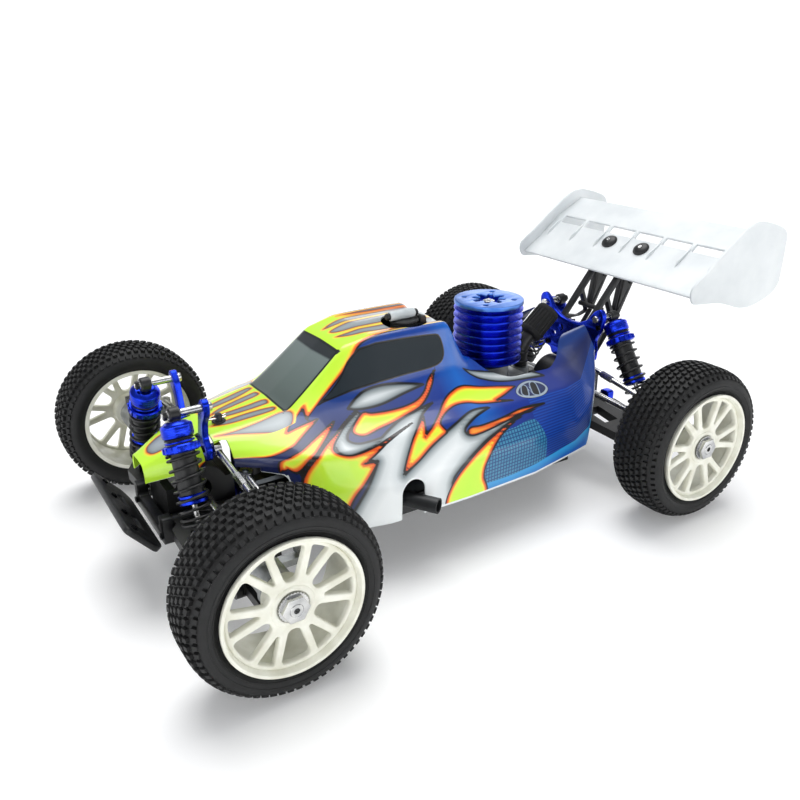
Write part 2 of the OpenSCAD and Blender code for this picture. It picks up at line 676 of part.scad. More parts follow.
module exhaust_pipe() {
    color("black") placed() {
        translate([-34, 58, 64]) along_x() {
            cylinder(r1 = 6, r2 = 13, h = 14);
            translate([0, 0, 14]) cylinder(r = 13, h = 52);
            translate([0, 0, 66]) cylinder(r1 = 13, r2 = 6, h = 12);
        }
        translate([44, 58, 64]) along_x() cylinder(r = 6, h = outlet_foot[0] - 44);
        translate([outlet_foot[0], 58, 64]) sphere(r = 6);
        translate([outlet_foot[0], 58, 64]) along_y() cylinder(r = outlet_r, h = outlet_foot[1] - 58);
        translate([outlet_foot[0], outlet_foot[1], 64]) sphere(r = outlet_r);
        translate(outlet_foot) cylinder(r = outlet_r, h = 64 - outlet_foot[2]);
        translate(outlet_foot) sphere(r = outlet_r);
        translate(outlet_foot) rotate(outlet_yaw) along_y() difference() {
            cylinder(r = outlet_r, h = outlet_len);
            translate([0, 0, outlet_len - outlet_bore]) cylinder(r = 4, h = outlet_bore + 1);
        }
    }
    color("gray") placed() {
        translate([head_x + 12, head_y + 15 + gap, 76]) along_y() cylinder(r = 5, h = 58 - head_y - 15 - gap);
        translate([head_x + 12, 58, 76]) sphere(r = 5.4);
        translate([head_x + 12, 58, 64]) cylinder(r = 5, h = 12);
        translate([head_x + 12, 58, 64]) sphere(r = 5.4);
        translate([head_x + 12, 58, 64]) along_x() cylinder(r = 5, h = -34 - gap - head_x - 12);
    }
}

module air_filter() {
    neck_x = head_x - fin_r - 8;
    color("black") placed() {
        translate([neck_x, head_y, 88 + gap]) cylinder(r = 5.5, h = 17.5);
        translate([neck_x, head_y, 106]) sphere(r = 6);
        translate([neck_x, head_y, 106]) rotate([0, -50, 0]) cylinder(r = 5, h = 10);
        translate([neck_x, head_y, 106]) rotate([0, -50, 0]) translate([0, 0, 9]) cylinder(r = 9.5, h = 27);
    }
}

module fuel_tank() {
    color("dimgray") placed() {
        translate([-22, -32, 76]) cube([46, 54, 34]);
        translate([5, 12, 108]) cylinder(r = 9.5, h = lid_z - 108);
        for (y = [6.4, 15]) translate([lid_hinge[0], y, lid_hinge[1]]) {
            along_y() cylinder(r = 2.4, h = 2.6);
            translate([0, 0, -8]) cube([6.5, 2.6, 5]);
            translate([-2.4, 0, -8]) cube([4.8, 2.6, 8]);
        }
        translate([lid_hinge[0], 6.4, lid_hinge[1]]) along_y() cylinder(r = 1, h = 11.2);
    }
}

module fuel_lid() {
    color("lightgray") placed() {
        translate([5, 12, lid_z + gap]) cylinder(r = 10.5, h = 2.5);
        translate([-3, 12, lid_z + 5.5]) along_x() cylinder(r = 3.4, h = 20);
        translate([-6, 12, lid_z + 5.5]) along_x() cylinder(r = 2.6, h = 26);
        difference() {
            union() {
                translate([lid_hinge[0], 9.5, lid_hinge[1]]) along_y() cylinder(r = 2.2, h = 5);
                translate([lid_hinge[0], 9.5, lid_hinge[1] - 0.2]) cube([9, 5, 2.4]);
            }
            translate([lid_hinge[0], 9, lid_hinge[1]]) along_y() cylinder(r = 1 + fit, h = 6);
        }
    }
}

module radio_tray() {
    color("black") placed() {
        translate([28, -58, 46]) cube([84, 50, 2.5]);
        for (x = [34, 100]) translate([x, -46, deck_z]) cube([6, 30, 10]);
        for (x = [36, 78]) {
            translate([x, -52, 48.5 + gap]) cube([20, 40, 22]);
            translate([x + 10, -24, 70]) cylinder(r = 6, h = 6);
        }
        translate([-64, -62, deck_z + gap]) cube([48, 26, 26]);
    }
}

for (c = CORNERS) {
    arm(c);
    hub_carrier(c);
    upper_link(c);
    shock_body(c);
    spring(c);
    shock_shaft(c);
    drive_shaft(c);
    rim(c);
    tyre(c);
}
knuckle("fl");  // knuckle_fl
knuckle("fr");  // knuckle_fr
tie_rod(1);  // tie_rod_l
tie_rod(-1);  // tie_rod_r
servo_saver();
steering_plate();
chassis_plate();
side_guards();
front_bumper();
gear_cases();
centre_drive();
hinge_blocks();
front_shock_tower();
rear_shock_tower();
wing();
wing_mount();
body_shell();
engine_block();
cooling_head();
exhaust_pipe();
air_filter();
fuel_tank();
fuel_lid();
radio_tray();
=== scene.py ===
# %% [markdown]
# # A 1:8 off-road buggy, finished in Blender
# The CAD model gives every part its place and its motion. This lesson gives each visible part
# its finish: moulded rubber, anodised aluminium, nylon and a painted polycarbonate shell.
# The frame comes first, because every later piece takes its place from it.

# %% Load the frame
import bmesh
import bpy
import json
import math
import numpy as np
from mathutils import Matrix, Vector


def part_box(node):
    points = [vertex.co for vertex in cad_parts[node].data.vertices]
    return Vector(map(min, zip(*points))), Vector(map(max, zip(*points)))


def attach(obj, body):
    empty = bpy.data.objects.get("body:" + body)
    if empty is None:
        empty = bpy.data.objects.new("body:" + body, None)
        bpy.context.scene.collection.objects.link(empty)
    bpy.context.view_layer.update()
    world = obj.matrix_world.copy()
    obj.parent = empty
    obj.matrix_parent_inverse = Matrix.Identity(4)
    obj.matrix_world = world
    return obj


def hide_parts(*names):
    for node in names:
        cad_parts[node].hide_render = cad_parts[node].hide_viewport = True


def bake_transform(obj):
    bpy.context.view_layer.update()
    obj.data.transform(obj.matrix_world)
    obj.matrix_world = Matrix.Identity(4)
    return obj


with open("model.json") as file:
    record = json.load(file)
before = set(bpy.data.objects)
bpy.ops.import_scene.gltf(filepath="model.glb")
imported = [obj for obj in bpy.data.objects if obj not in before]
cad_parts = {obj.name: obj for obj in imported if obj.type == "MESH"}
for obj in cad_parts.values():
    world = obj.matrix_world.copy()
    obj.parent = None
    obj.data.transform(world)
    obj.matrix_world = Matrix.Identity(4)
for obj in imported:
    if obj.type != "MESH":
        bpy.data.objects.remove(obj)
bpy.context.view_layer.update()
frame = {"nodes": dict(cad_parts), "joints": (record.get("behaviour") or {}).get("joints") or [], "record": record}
nodes = frame["nodes"]
joints = {joint["name"]: joint for joint in frame["joints"]}
MM = 0.001
CORNERS = ("fl", "fr", "rl", "rr")


def middle(name):
    """Centre of a CAD node's box."""
    low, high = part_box(name)
    return (low + high) / 2


axle = {c: Vector(joints["wheel_spin_" + c]["pos_m"]) for c in CORNERS}
side_of = {c: 1 if c[1] == "l" else -1 for c in CORNERS}
mid_x = (axle["fl"].x + axle["rl"].x) / 2
print("wheelbase in mm:", round((axle["fl"].x - axle["rl"].x) / MM, 1))

# %% [markdown]
# ## Camera, light and floor
# A long studio lens looks down on the front left wheel. The floor is plain and pale, and soft
# panels stand all round, because gloss paint and metal need something bright to mirror.

# %% Camera
EYE_AT = (mid_x + 0.29832, 0.47098, 0.31621)
FORWARD = Vector((-0.4914, -0.7784, -0.3916)).normalized()
ROLL, LENS = -0.004437, 36.70


def add(name, data):
    """A new object with that data, linked to the scene."""
    made = bpy.data.objects.new(name, data)
    bpy.context.scene.collection.objects.link(made)
    return made


eye = bpy.data.cameras.new("camera")
eye.lens, eye.sensor_width = LENS, 36
camera = add("camera", eye)
turn = FORWARD.to_track_quat("-Z", "Y").to_matrix() @ Matrix.Rotation(ROLL, 3, "Z")
camera.matrix_world = Matrix.Translation(EYE_AT) @ turn.to_4x4()
bpy.context.scene.camera = camera


# %% Light and floor
def linear(code):
    """One sRGB hex colour as Blender's linear RGBA."""
    parts = [int(code[i:i + 2], 16) / 255 for i in (1, 3, 5)]
    return [p / 12.92 if p <= 0.04045 else ((p + 0.055) / 1.055) ** 2.4 for p in parts] + [1.0]


def node(tree, kind, inputs=None, stops=(), **settings):
    """Adds one node, sets its properties and colour stops, and gives its inputs values or links."""
    made = tree.nodes.new(kind)
    for key, value in settings.items():
        setattr(made, key, value)
    for k, (place, colour, opacity) in enumerate(stops):
        if k == len(made.color_ramp.elements):
            made.color_ramp.elements.new(place)
        made.color_ramp.elements[k].position = place
        made.color_ramp.elements[k].color = linear(colour)[:3] + [opacity]
    for key, value in (inputs or {}).items():
        if isinstance(value, bpy.types.NodeSocket):
            tree.links.new(value, made.inputs[key])
        else:
            made.inputs[key].default_value = value
    return made


def panel(name, place, size, watts, target=(0, 0, 0.08)):
    """A soft rectangular lamp that faces the car."""
    light = bpy.data.lights.new(name, "AREA")
    light.shape = "RECTANGLE"
    light.size, light.size_y = size
    light.energy = watts
    lamp = add(name, light)
    lamp.location = place
    lamp.rotation_euler = (Vector(target) - Vector(place)).to_track_quat("-Z", "Y").to_euler()


def backdrop(name, points, faces, paper, **settings):
    """A staged sheet of plain paper that glows a little."""
    mesh = bpy.data.meshes.new(name)
    mesh.from_pydata(points, [], faces)
    mesh.materials.append(bpy.data.materials.new(paper))
    mesh.materials[0].use_nodes = True
    sheet = mesh.materials[0].node_tree.nodes["Principled BSDF"]
    for key, value in settings.items():
        sheet.inputs[key.replace("_", " ")].default_value = value
    add(name, mesh)


panel("overhead_panel", (0.1, 0.1, 1.2), (1.5, 1.1), 4.0)
panel("front_panel", (1.2, 0.75, 0.6), (0.9, 0.6), 2.6)
panel("left_panel", (-0.3, 1.3, 0.45), (1.2, 0.5), 2.2)
panel("rear_panel", (-1.2, -0.9, 0.7), (1.0, 0.6), 2.6)
sun = bpy.data.lights.new("key_light", "SUN")
sun.energy = 2.0
sun.angle = math.radians(45)
key = add("key_light", sun)
key.rotation_euler = Vector((0.18, 0.32, -1)).to_track_quat("-Z", "Y").to_euler()
world = bpy.data.worlds.new("studio")
world.use_nodes = True
world.node_tree.nodes["Background"].inputs["Color"].default_value = linear("#eef2f8")
world.node_tree.nodes["Background"].inputs["Strength"].default_value = 0.30
bpy.context.scene.world = world
bpy.context.scene.view_settings.view_transform = "Standard"

FLOOR, TENT_R, TENT_SIDES, TENT_Z = 30, 9, 64, (-0.5, 2.2)
WHITE = linear("#ffffff")
backdrop("floor", [(-FLOOR, -FLOOR, 0), (FLOOR, -FLOOR, 0), (FLOOR, FLOOR, 0), (-FLOOR, FLOOR, 0)],
         [(0, 1, 2, 3)], "backdrop_paper", Base_Color=linear("#f6f6f6"), Roughness=0.9,
         Emission_Color=WHITE, Emission_Strength=0.12)
ring = [(TENT_R * math.cos(a), TENT_R * math.sin(a))
        for a in np.linspace(0, 2 * math.pi, TENT_SIDES, endpoint=False)]
backdrop("light_tent", [(x, y, z) for z in TENT_Z for x, y in ring],
         [(k, (k + 1) % TENT_SIDES, TENT_SIDES + (k + 1) % TENT_SIDES, TENT_SIDES + k)
          for k in range(TENT_SIDES)],
         "lit_paper", Base_Color=WHITE, Emission_Color=WHITE, Emission_Strength=0.9)
print("camera at", [round(v, 3) for v in camera.location])

# %% [markdown]
# ## Plain finishes
# Most parts here have one material all over, but no real surface is one flat colour. A single
# recipe covers them: a base colour that drifts a little, a roughness that drifts with it, and a
# fine bump at the grain size that the process leaves.


# %% Finish recipe
def finish_of(name, colour, shade, rough, grain, bump, metallic=0.0, stretch=(1, 1, 1), drift=12.0,
              **shader):
    """Material whose colour drifts from colour to shade; grain, bump and drift are in mm."""
    made = bpy.data.materials.new(name)
    made.use_nodes = True
    tree = made.node_tree
    body = tree.nodes["Principled BSDF"]
    place = node(tree, "ShaderNodeTexCoord").outputs["Object"]
    slow = node(tree, "ShaderNodeTexNoise", {"Vector": place, "Scale": 1 / (drift * MM), "Detail": 3.0})
    tone = node(tree, "ShaderNodeValToRGB", {"Fac": slow.outputs["Fac"]},
                stops=[(0.35, shade, 1), (0.65, colour, 1)])
    lay = node(tree, "ShaderNodeMapping", {"Vector": place, "Scale": stretch})
    fine = node(tree, "ShaderNodeTexNoise",
                {"Vector": lay.outputs["Vector"], "Scale": 1 / (grain * MM), "Detail": 2.0})
    gloss = node(tree, "ShaderNodeMapRange", {
        "Value": fine.outputs["Fac"], "To Min": rough - 0.06, "To Max": rough + 0.08})
    relief = node(tree, "ShaderNodeBump",
                  {"Height": fine.outputs["Fac"], "Distance": bump * MM, "Strength": 0.6})
    tree.links.new(tone.outputs["Color"], body.inputs["Base Color"])
    tree.links.new(gloss.outputs["Result"], body.inputs["Roughness"])
    tree.links.new(relief.outputs["Normal"], body.inputs["Normal"])
    body.inputs["Metallic"].default_value = metallic
    for key, value in shader.items():
        body.inputs[key.replace("_", " ")].default_value = value
    return made


# Aluminium, machined, then anodised: the dye makes the mirror itself blue.
anodised = finish_of("anodised_aluminium_blue", "#2440dc", "#1830b6", 0.26, 0.35, 0.02, metallic=1.0)
# The top faces of the same parts get a paler copy of the blue: a painted highlight where light falls from above.
lit_top_anodised = finish_of("anodised_aluminium_lit_top", "#5c88d4", "#4070c2", 0.30, 0.5, 0.02, metallic=1.0)
# Free-cutting steel, turned: bright, with fine rings.
steel = finish_of("turned_steel", "#d6d6d4", "#a5a6a8", 0.24, 0.4, 0.02, metallic=1.0)
# Glass-filled nylon, moulded: satin black, a little grey where it catches light.
nylon = finish_of("glass_filled_nylon", "#141517", "#0b0c0d", 0.42, 0.45, 0.05)
# Spring wire, powder coated.
coated = finish_of("powder_coated_wire", "#0c0d0f", "#060607", 0.34, 0.25, 0.03)
# Moulded nylon in off-white, slightly warm, with a soft sheen.
rim_nylon = finish_of("off_white_nylon", "#eeeee2", "#dddccc", 0.34, 0.6, 0.03)
# Vulcanised rubber: almost matte, its black drifting a little at random.
rubber = finish_of("vulcanised_rubber", "#0e0f10", "#070707", 0.66, 0.5, 0.08, drift=7.0)
# Hard anodised plate under the car.
plate_alloy = finish_of("hard_anodised_plate", "#6e7276", "#54585c", 0.38, 0.5, 0.03, metallic=1.0)
# Wing: gloss-moulded nylon, cooler and greyer than the rims.
wing_nylon = finish_of("white_moulded_nylon", "#e2e6e7", "#d5dadc", 0.30, 0.8, 0.03, drift=30.0)
# Sand-cast aluminium for the engine and knuckles.
cast = finish_of("sand_cast_aluminium", "#b4b6b6", "#8c8f90", 0.48, 0.5, 0.12, metallic=1.0)
pipe_metal = finish_of("blackened_pipe", "#26282a", "#17181a", 0.40, 0.5, 0.03, metallic=0.3)
# Translucent fuel-tank plastic over dark fuel.
tank_plastic = finish_of("smoked_polypropylene", "#3b3e40", "#2c2e30", 0.36, 0.7, 0.03)
lid_plastic = finish_of("pale_grey_abs", "#ccd3d5", "#b4bcbf", 0.32, 0.5, 0.03)
# Oiled foam: dull, open-celled.
foam = finish_of("oiled_foam", "#101011", "#070708", 0.8, 0.9, 0.35)
print("plain finishes:", len(bpy.data.materials))

# %% [markdown]
# ## A few shaping tools
# Real parts here are turned on a lathe, cut from plate, bent from wire or moulded. Each way gets
# one small function that adds its faces to a piece, so a piece can be built as it is made.


# %% Frames and outlines
def shift(x=0.0, y=0.0, z=0.0):
    """Move by millimetres."""
    return Matrix.Translation((x * MM, y * MM, z * MM))


def facing(origin, z_axis, x_hint=(1, 0, 0)):
    """Frame at origin whose Z points along z_axis and whose X stays near x_hint."""
    z = Vector(z_axis).normalized()
    x_hint = Vector(x_hint) if abs(z.dot(Vector(x_hint).normalized())) < 0.99 else Vector((0, 1, 0))
    x = (x_hint - z * x_hint.dot(z)).normalized()
    y = z.cross(x)
    turn = Matrix((x, y, z)).transposed().to_4x4()
    return Matrix.Translation(Vector(origin)) @ turn


def rounded(points, radius, steps=4):
    """Outline with each corner replaced by a short curve of about that radius."""
    out = []
    for i, point in enumerate(points):
        here = Vector(point)
        back = Vector(points[i - 1]) - here
        ahead = Vector(points[(i + 1) % len(points)]) - here
        reach = min(radius, back.length * 0.45, ahead.length * 0.45)
        start = here + back.normalized() * reach
        end = here + ahead.normalized() * reach
        for k in range(steps + 1):
            t = k / steps
            out.append(tuple(start * (1 - t) ** 2 + here * 2 * t * (1 - t) + end * t ** 2))
    return out


def polar(radius, angle, centre=(0, 0)):
    """Point at a radius and an angle from a centre."""
    return (centre[0] + radius * math.cos(angle), centre[1] + radius * math.sin(angle))


def circle(radius, count, centre=(0, 0)):
    """Points of a circle, in order."""
    return [polar(radius, 2 * math.pi * k / count, centre) for k in range(count)]


# %% Piece builder
class Piece:
    """Collects faces in mm, then becomes one mesh in metres."""

    def __init__(self):
        self.points, self.faces, self.slots, self.smooth = [], [], [], []

    def put(self, points, faces, place, slot=0, smooth=True):
        base = len(self.points)
        self.points += [tuple(place @ (Vector(p) * MM)) for p in points]
        self.faces += [tuple(base + i for i in face) for face in faces]
        self.slots += [slot] * len(faces)
        self.smooth += [smooth] * len(faces)

    def turned(self, profile, place, slot=0, count=40, closed=False):
        """Lathe work: profile is [radius, height] from bottom to top; a radius of 0 is a pole."""
        points, rings = [], []
        for radius, height in profile:
            if radius < 1e-6:
                rings.append([len(points)])
                points.append((0, 0, height))
            else:
                rings.append(list(range(len(points), len(points) + count)))
                points += [(x, y, height) for x, y in circle(radius, count)]
        faces = []
        for low, high in zip(rings, rings[1:] + rings[:1 if closed else 0]):
            for k in range(count):
                a, b = low[k % len(low)], low[(k + 1) % len(low)]
                c, d = high[(k + 1) % len(high)], high[k % len(high)]
                faces.append(list(dict.fromkeys((a, b, c, d))))
        self.put(points, faces, place, slot)

    def wire(self, path, radius, place=Matrix(), slot=0, count=10, closed=False):
        """Round wire or rod bent along a path in mm; radius is one number or one for each point."""
        path = [Vector(p) for p in path]
        total = len(path)
        radii = radius if isinstance(radius, (list, tuple)) else [radius] * total
        points, normal = [], None
        for i, here in enumerate(path):
            ahead = path[(i + 1) % total] if closed or i < total - 1 else here
            back = path[i - 1] if closed or i > 0 else here
            along = (ahead - back).normalized()
            if normal is None:
                normal = along.orthogonal().normalized()
            normal = (normal - along * normal.dot(along)).normalized()
            other = along.cross(normal)
            for k in range(count):
                a = 2 * math.pi * k / count
                points.append(here + (normal * math.cos(a) + other * math.sin(a)) * radii[i])
        faces = []
        for i in range(total if closed else total - 1):
            j = (i + 1) % total
            for k in range(count):
                n = (k + 1) % count
                faces.append((i * count + k, i * count + n, j * count + n, j * count + k))
        if not closed:
            faces.append(tuple(reversed(range(count))))
            faces.append(tuple(range((total - 1) * count, total * count)))
        self.put(points, faces, place, slot)

    def cut(self, outline, place, thickness, bevel=0.5, holes=(), slot=0, raised=None):
        """Plate cut to an outline, with holes and bevelled edges, centred on its own plane."""
        curve = bpy.data.curves.new("cut", "CURVE")
        curve.dimensions = "2D"
        curve.fill_mode = "BOTH"
        curve.bevel_depth = bevel
        curve.bevel_resolution = 2
        curve.offset = -bevel
        curve.extrude = thickness / 2 - bevel
        for loop in [outline, *holes]:
            spline = curve.splines.new("POLY")
            spline.points.add(len(loop) - 1)
            for spot, (x, y) in zip(spline.points, loop):
                spot.co = (x, y, 0, 1)
            spline.use_cyclic_u = True
        thing = add("cut", curve)
        mesh = evaluated(thing)
        points = [raised(v.co) if raised else v.co for v in mesh.vertices]
        self.put(points, [tuple(p.vertices) for p in mesh.polygons], place, slot)
        bpy.data.objects.remove(thing)
        bpy.data.meshes.remove(mesh)

    def block(self, low, high, place=Matrix(), bevel=0.6, slot=0):
        """Box between two corners with bevelled edges."""
        (x0, y0, z0), (x1, y1, z1) = low, high
        outline = [(x0, y0), (x1, y0), (x1, y1), (x0, y1)]
        self.cut(outline, place @ shift(z=(z0 + z1) / 2), z1 - z0, bevel, slot=slot)

    def made(self, name, *materials, crease=35):
        """The finished mesh object: doubles merged, normals out, flat across sharp edges."""
        mesh = bpy.data.meshes.new(name)
        mesh.from_pydata(self.points, [], self.faces)
        mesh.polygons.foreach_set("material_index", self.slots)
        mesh.polygons.foreach_set("use_smooth", self.smooth)
        for material in materials:
            mesh.materials.append(material)
        made = add(name, mesh)
        tidy(made, crease)
        return made


def tidy(thing, crease=35):
    """Merges doubles, turns faces outwards and marks sharp edges."""
    work = bmesh.new()
    work.from_mesh(thing.data)
    bmesh.ops.remove_doubles(work, verts=work.verts, dist=1e-6)
    bmesh.ops.recalc_face_normals(work, faces=work.faces)
    for edge in work.edges:
        edge.smooth = len(edge.link_faces) == 2 and edge.calc_face_angle(0) < math.radians(crease)
    work.to_mesh(thing.data)
    work.free()


def settle(piece, body, slot, *replaced):
    """Puts a piece on its body and hides what it stands for."""
    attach(piece, body)
    if replaced:
        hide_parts(*replaced)
    return piece


def evaluated(thing):
    """A plain copy of the mesh that an object's modifiers give."""
    bpy.context.view_layer.update()
    graph = bpy.context.evaluated_depsgraph_get()
    return bpy.data.meshes.new_from_object(thing.evaluated_get(graph))


plain = {"anodised_blue": anodised, "machined_steel": steel, "moulded_nylon": nylon, "spring_black": coated,
         "rim_nylon": rim_nylon, "tyre_rubber": rubber, "chassis_alloy": plate_alloy,
         "shell_paint": anodised, "wing_nylon": wing_nylon, "cast_alloy": cast, "exhaust_metal": pipe_metal,
         "tank_plastic": tank_plastic, "lid_plastic": lid_plastic, "filter_rubber": foam}
slot_of = {part["node"]: part["material_slot"] for part in frame["record"]["subparts"]}
for name, thing in nodes.items():
    thing.data.materials.clear()
    thing.data.materials.append(plain[slot_of[name]])
print("CAD parts given a finish:", len(nodes))

# %% [markdown]
# ## Tyres
# An off-road tyre is a thin rubber carcass with hundreds of small square blocks moulded on it,
# so that it bites into dirt. The carcass is turned from one profile. The blocks follow a rule, a
# staggered grid wrapped round a crowned band, so Geometry Nodes place them.

# %% Tread tree
CROWN, HALF_BAND, CARCASS_R = 5.0, 18.5, 54.9


def crown_radius(across):
    """Carcass radius at a distance from the tyre's middle plane, all in mm."""
    return CARCASS_R - CROWN * abs(across / HALF_BAND) ** 4


def group(name, numbers):
    """Empty geometry tree with number inputs, and the ids of its inputs by name."""
    tree = bpy.data.node_groups.new(name, "GeometryNodeTree")
    tree.interface.new_socket("Geometry", in_out="INPUT", socket_type="NodeSocketGeometry")
    ids = {}
    for key, (kind, value) in numbers.items():
        socket = tree.interface.new_socket(key, in_out="INPUT", socket_type=kind)
        socket.default_value = value
        ids[key] = socket.identifier
    tree.interface.new_socket("Geometry", in_out="OUTPUT", socket_type="NodeSocketGeometry")
    return tree, ids, node(tree, "NodeGroupInput").outputs


def finish_tree(tree, geometry, material):
    """Ends a tree in real geometry with its material."""
    real = node(tree, "GeometryNodeRealizeInstances", {"Geometry": geometry})
    coat = node(tree, "GeometryNodeSetMaterial",
                {"Geometry": real.outputs["Geometry"], "Material": material})
    node(tree, "NodeGroupOutput", {"Geometry": coat.outputs["Geometry"]})


def grown(name, tree, ids, values, place=Matrix(), start=None):
    """Runs a geometry tree and returns its result as a plain mesh, moved to its place."""
    thing = add(name, start or bpy.data.meshes.new(name))
    growth = thing.modifiers.new("growth", "NODES")
    growth.node_group = tree
    for key, value in values.items():
        growth[ids[key]] = value
    mesh = evaluated(thing)
    thing.modifiers.remove(growth)
    bpy.data.objects.remove(thing)
    mesh.transform(place)
    return mesh


whole, length = "NodeSocketInt", "NodeSocketFloat"
AROUND, ROWS = 66, 8
tread, tread_ids, given = group("tread_blocks", {
    "Around": (whole, AROUND), "Rows": (whole, ROWS), "Half band": (length, 0.0170),
    "Carcass radius": (length, CARCASS_R * MM), "Crown": (length, CROWN * MM),
    "Block": (length, 0.0033), "Height": (length, 0.0039)})
sheet = node(tread, "GeometryNodeMeshGrid", {
    "Size X": 1.0, "Size Y": 1.0, "Vertices X": given["Around"], "Vertices Y": given["Rows"]})
point = node(tread, "ShaderNodeSeparateXYZ",
             {"Vector": node(tread, "GeometryNodeInputPosition").outputs[0]})
sums = {key: given[key] for key in tread_ids}
sums["index"] = node(tread, "GeometryNodeInputIndex").outputs[0]
sums.update({key: point.outputs[key] for key in "XYZ"})
# One row for each sum: its name, the operation and what goes in. The last three narrow a block upwards.
for name, operation, *values in (
        ("laps", "DIVIDE", "index", "Rows"), ("lap", "FLOOR", "laps"),
        ("before", "MULTIPLY", "lap", "Rows"), ("row", "SUBTRACT", "index", "before"),
        ("odd", "MODULO", "row", 2.0), ("stagger", "MULTIPLY", "odd", 0.5),
        ("station", "ADD", "lap", "stagger"), ("part", "DIVIDE", "station", "Around"),
        ("angle", "MULTIPLY", "part", 2 * math.pi), ("last", "SUBTRACT", "Rows", 1.0),
        ("share", "DIVIDE", "row", "last"), ("signed", "MULTIPLY_ADD", "share", 2.0, -1.0),
        ("across", "MULTIPLY", "signed", "Half band"), ("off", "ABSOLUTE", "across"),
        ("bend", "DIVIDE", "off", HALF_BAND * MM), ("fourth", "POWER", "bend", 4.0),
        ("fall", "MULTIPLY", "fourth", "Crown"), ("radius", "SUBTRACT", "Carcass radius", "fall"),
        ("cosine", "COSINE", "angle"), ("sine", "SINE", "angle"), ("x", "MULTIPLY", "radius", "cosine"),
        ("y", "MULTIPLY", "radius", "sine"), ("third", "POWER", "bend", 3.0),
        ("steep", "MULTIPLY", "third", 1.1), ("sign", "SIGN", "across"),
        ("slope", "MULTIPLY", "steep", "sign"), ("taper", "MULTIPLY_ADD", "Z", -0.22, 0.94),
        ("narrow x", "MULTIPLY", "X", "taper"), ("narrow y", "MULTIPLY", "Y", "taper")):
    linked = {k: sums.get(value, value) for k, value in enumerate(values)}
    sums[name] = node(tread, "ShaderNodeMath", linked, operation=operation).outputs[0]
spot = node(tread, "ShaderNodeCombineXYZ", {"X": sums["x"], "Y": sums["y"], "Z": sums["across"]})
outward = node(tread, "ShaderNodeCombineXYZ", {"X": sums["cosine"], "Y": sums["sine"], "Z": sums["slope"]})
wrapped = node(tread, "GeometryNodeSetPosition",
               {"Geometry": sheet.outputs["Mesh"], "Position": spot.outputs[0]})
stand = node(tread, "FunctionNodeAlignRotationToVector", {"Vector": outward.outputs[0]}, axis="Z")
square = node(tread, "FunctionNodeAlignRotationToVector", {
    "Rotation": stand.outputs[0], "Vector": (0, 0, 1)}, axis="X", pivot_axis="Z")
cube = node(tread, "GeometryNodeMeshCube", {"Size": (1, 1, 1)})
narrowed = node(tread, "ShaderNodeCombineXYZ", {
    "X": sums["narrow x"], "Y": sums["narrow y"], "Z": point.outputs["Z"]})
brick = node(tread, "GeometryNodeSetPosition", {
    "Geometry": cube.outputs["Mesh"], "Position": narrowed.outputs[0]})
girth = node(tread, "ShaderNodeCombineXYZ", {
    "X": given["Block"], "Y": given["Block"], "Z": given["Height"]})
blocks = node(tread, "GeometryNodeInstanceOnPoints", {
    "Points": wrapped.outputs["Geometry"], "Instance": brick.outputs["Geometry"],
    "Rotation": square.outputs[0], "Scale": girth.outputs[0]})
finish_tree(tread, blocks.outputs["Instances"], rubber)
print("tread tree inputs:", len(tread_ids))

# %% Four tyres
lip_y = {c: abs(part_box("rim_" + c)[0 if side_of[c] < 0 else 1].y) for c in CORNERS}
wheel_frame = {c: facing((axle[c].x, middle("tyre_" + c).y, axle[c].z), (0, side_of[c], 0))
               for c in CORNERS}
BEAD = 16.6
carcass_line = [(39.2, BEAD), (41.2, BEAD + 0.2), (43.0, 18.8), (45.2, 20.2), (47.6, 20.5), (50.0, 19.6),
                (51.2, 18.6)]
LINES = ((43.6, 19.3), (46.4, 20.35))  # where two thin moulded lines run round the wall
band = [(crown_radius(w), w) for w in np.linspace(17.5, -17.5, 15)]
inner_line = [(50.5, -15.5), (52.6, -8), (52.6, 8), (50.5, 15.5), (45, 18), (42, 15), (39.2, 13.5)]
carcass_loop = carcass_line + band + [(r, -h) for r, h in reversed(carcass_line)]
carcass_loop += [(39.2, -13.5), (42, -15), (45, -18)] + inner_line
for c in CORNERS:
    tyre = Piece()
    tyre.turned(carcass_loop, wheel_frame[c], count=144, closed=True)
    for line in LINES:
        tyre.turned(circle(0.35, 6, line), wheel_frame[c], count=144, closed=True)
    settle(tyre.made("tyre_casing_" + c, rubber), "wheel_" + c, "tyre_rubber", "tyre_" + c)
    knobs = add("tyre_tread_" + c,
                grown("tread_" + c, tread, tread_ids, {"Around": AROUND}, wheel_frame[c]))
    settle(knobs, "wheel_" + c, "tyre_rubber")
print("tread blocks on each tyre:", AROUND * ROWS)

# %% [markdown]
# ## Rims
# The dished rim is one nylon moulding: a barrel with two lips, and a face with twelve spokes in
# six pairs. The face is cut as a plate with rounded windows and then domed a little, since flat
# spokes would look stamped. The steel nut and axle sit in its centre.


# %% Rim face
def window(angle_deg, near, far, half_near, half_far, corner):
    """A spoke window: a four-sided hole, narrower near the hub, with rounded corners."""
    a = math.radians(angle_deg)
    along, cross = Vector((math.cos(a), math.sin(a))), Vector((-math.sin(a), math.cos(a)))
    bow = 1 - math.cos(half_far / far)
    corners = [along * near - cross * half_near, along * far * (1 - bow) - cross * half_far,
               along * far, along * far * (1 - bow) + cross * half_far, along * near + cross * half_near]
    return rounded([tuple(p) for p in corners], corner, 5)


def domed(point):
    """Lowers the face towards the hub, so that the spokes curve in."""
    x, y, z = point
    r = math.hypot(x, y)
    return (x, y, z - 1.3 * (1 - min(r / 36, 1)) ** 1.5)


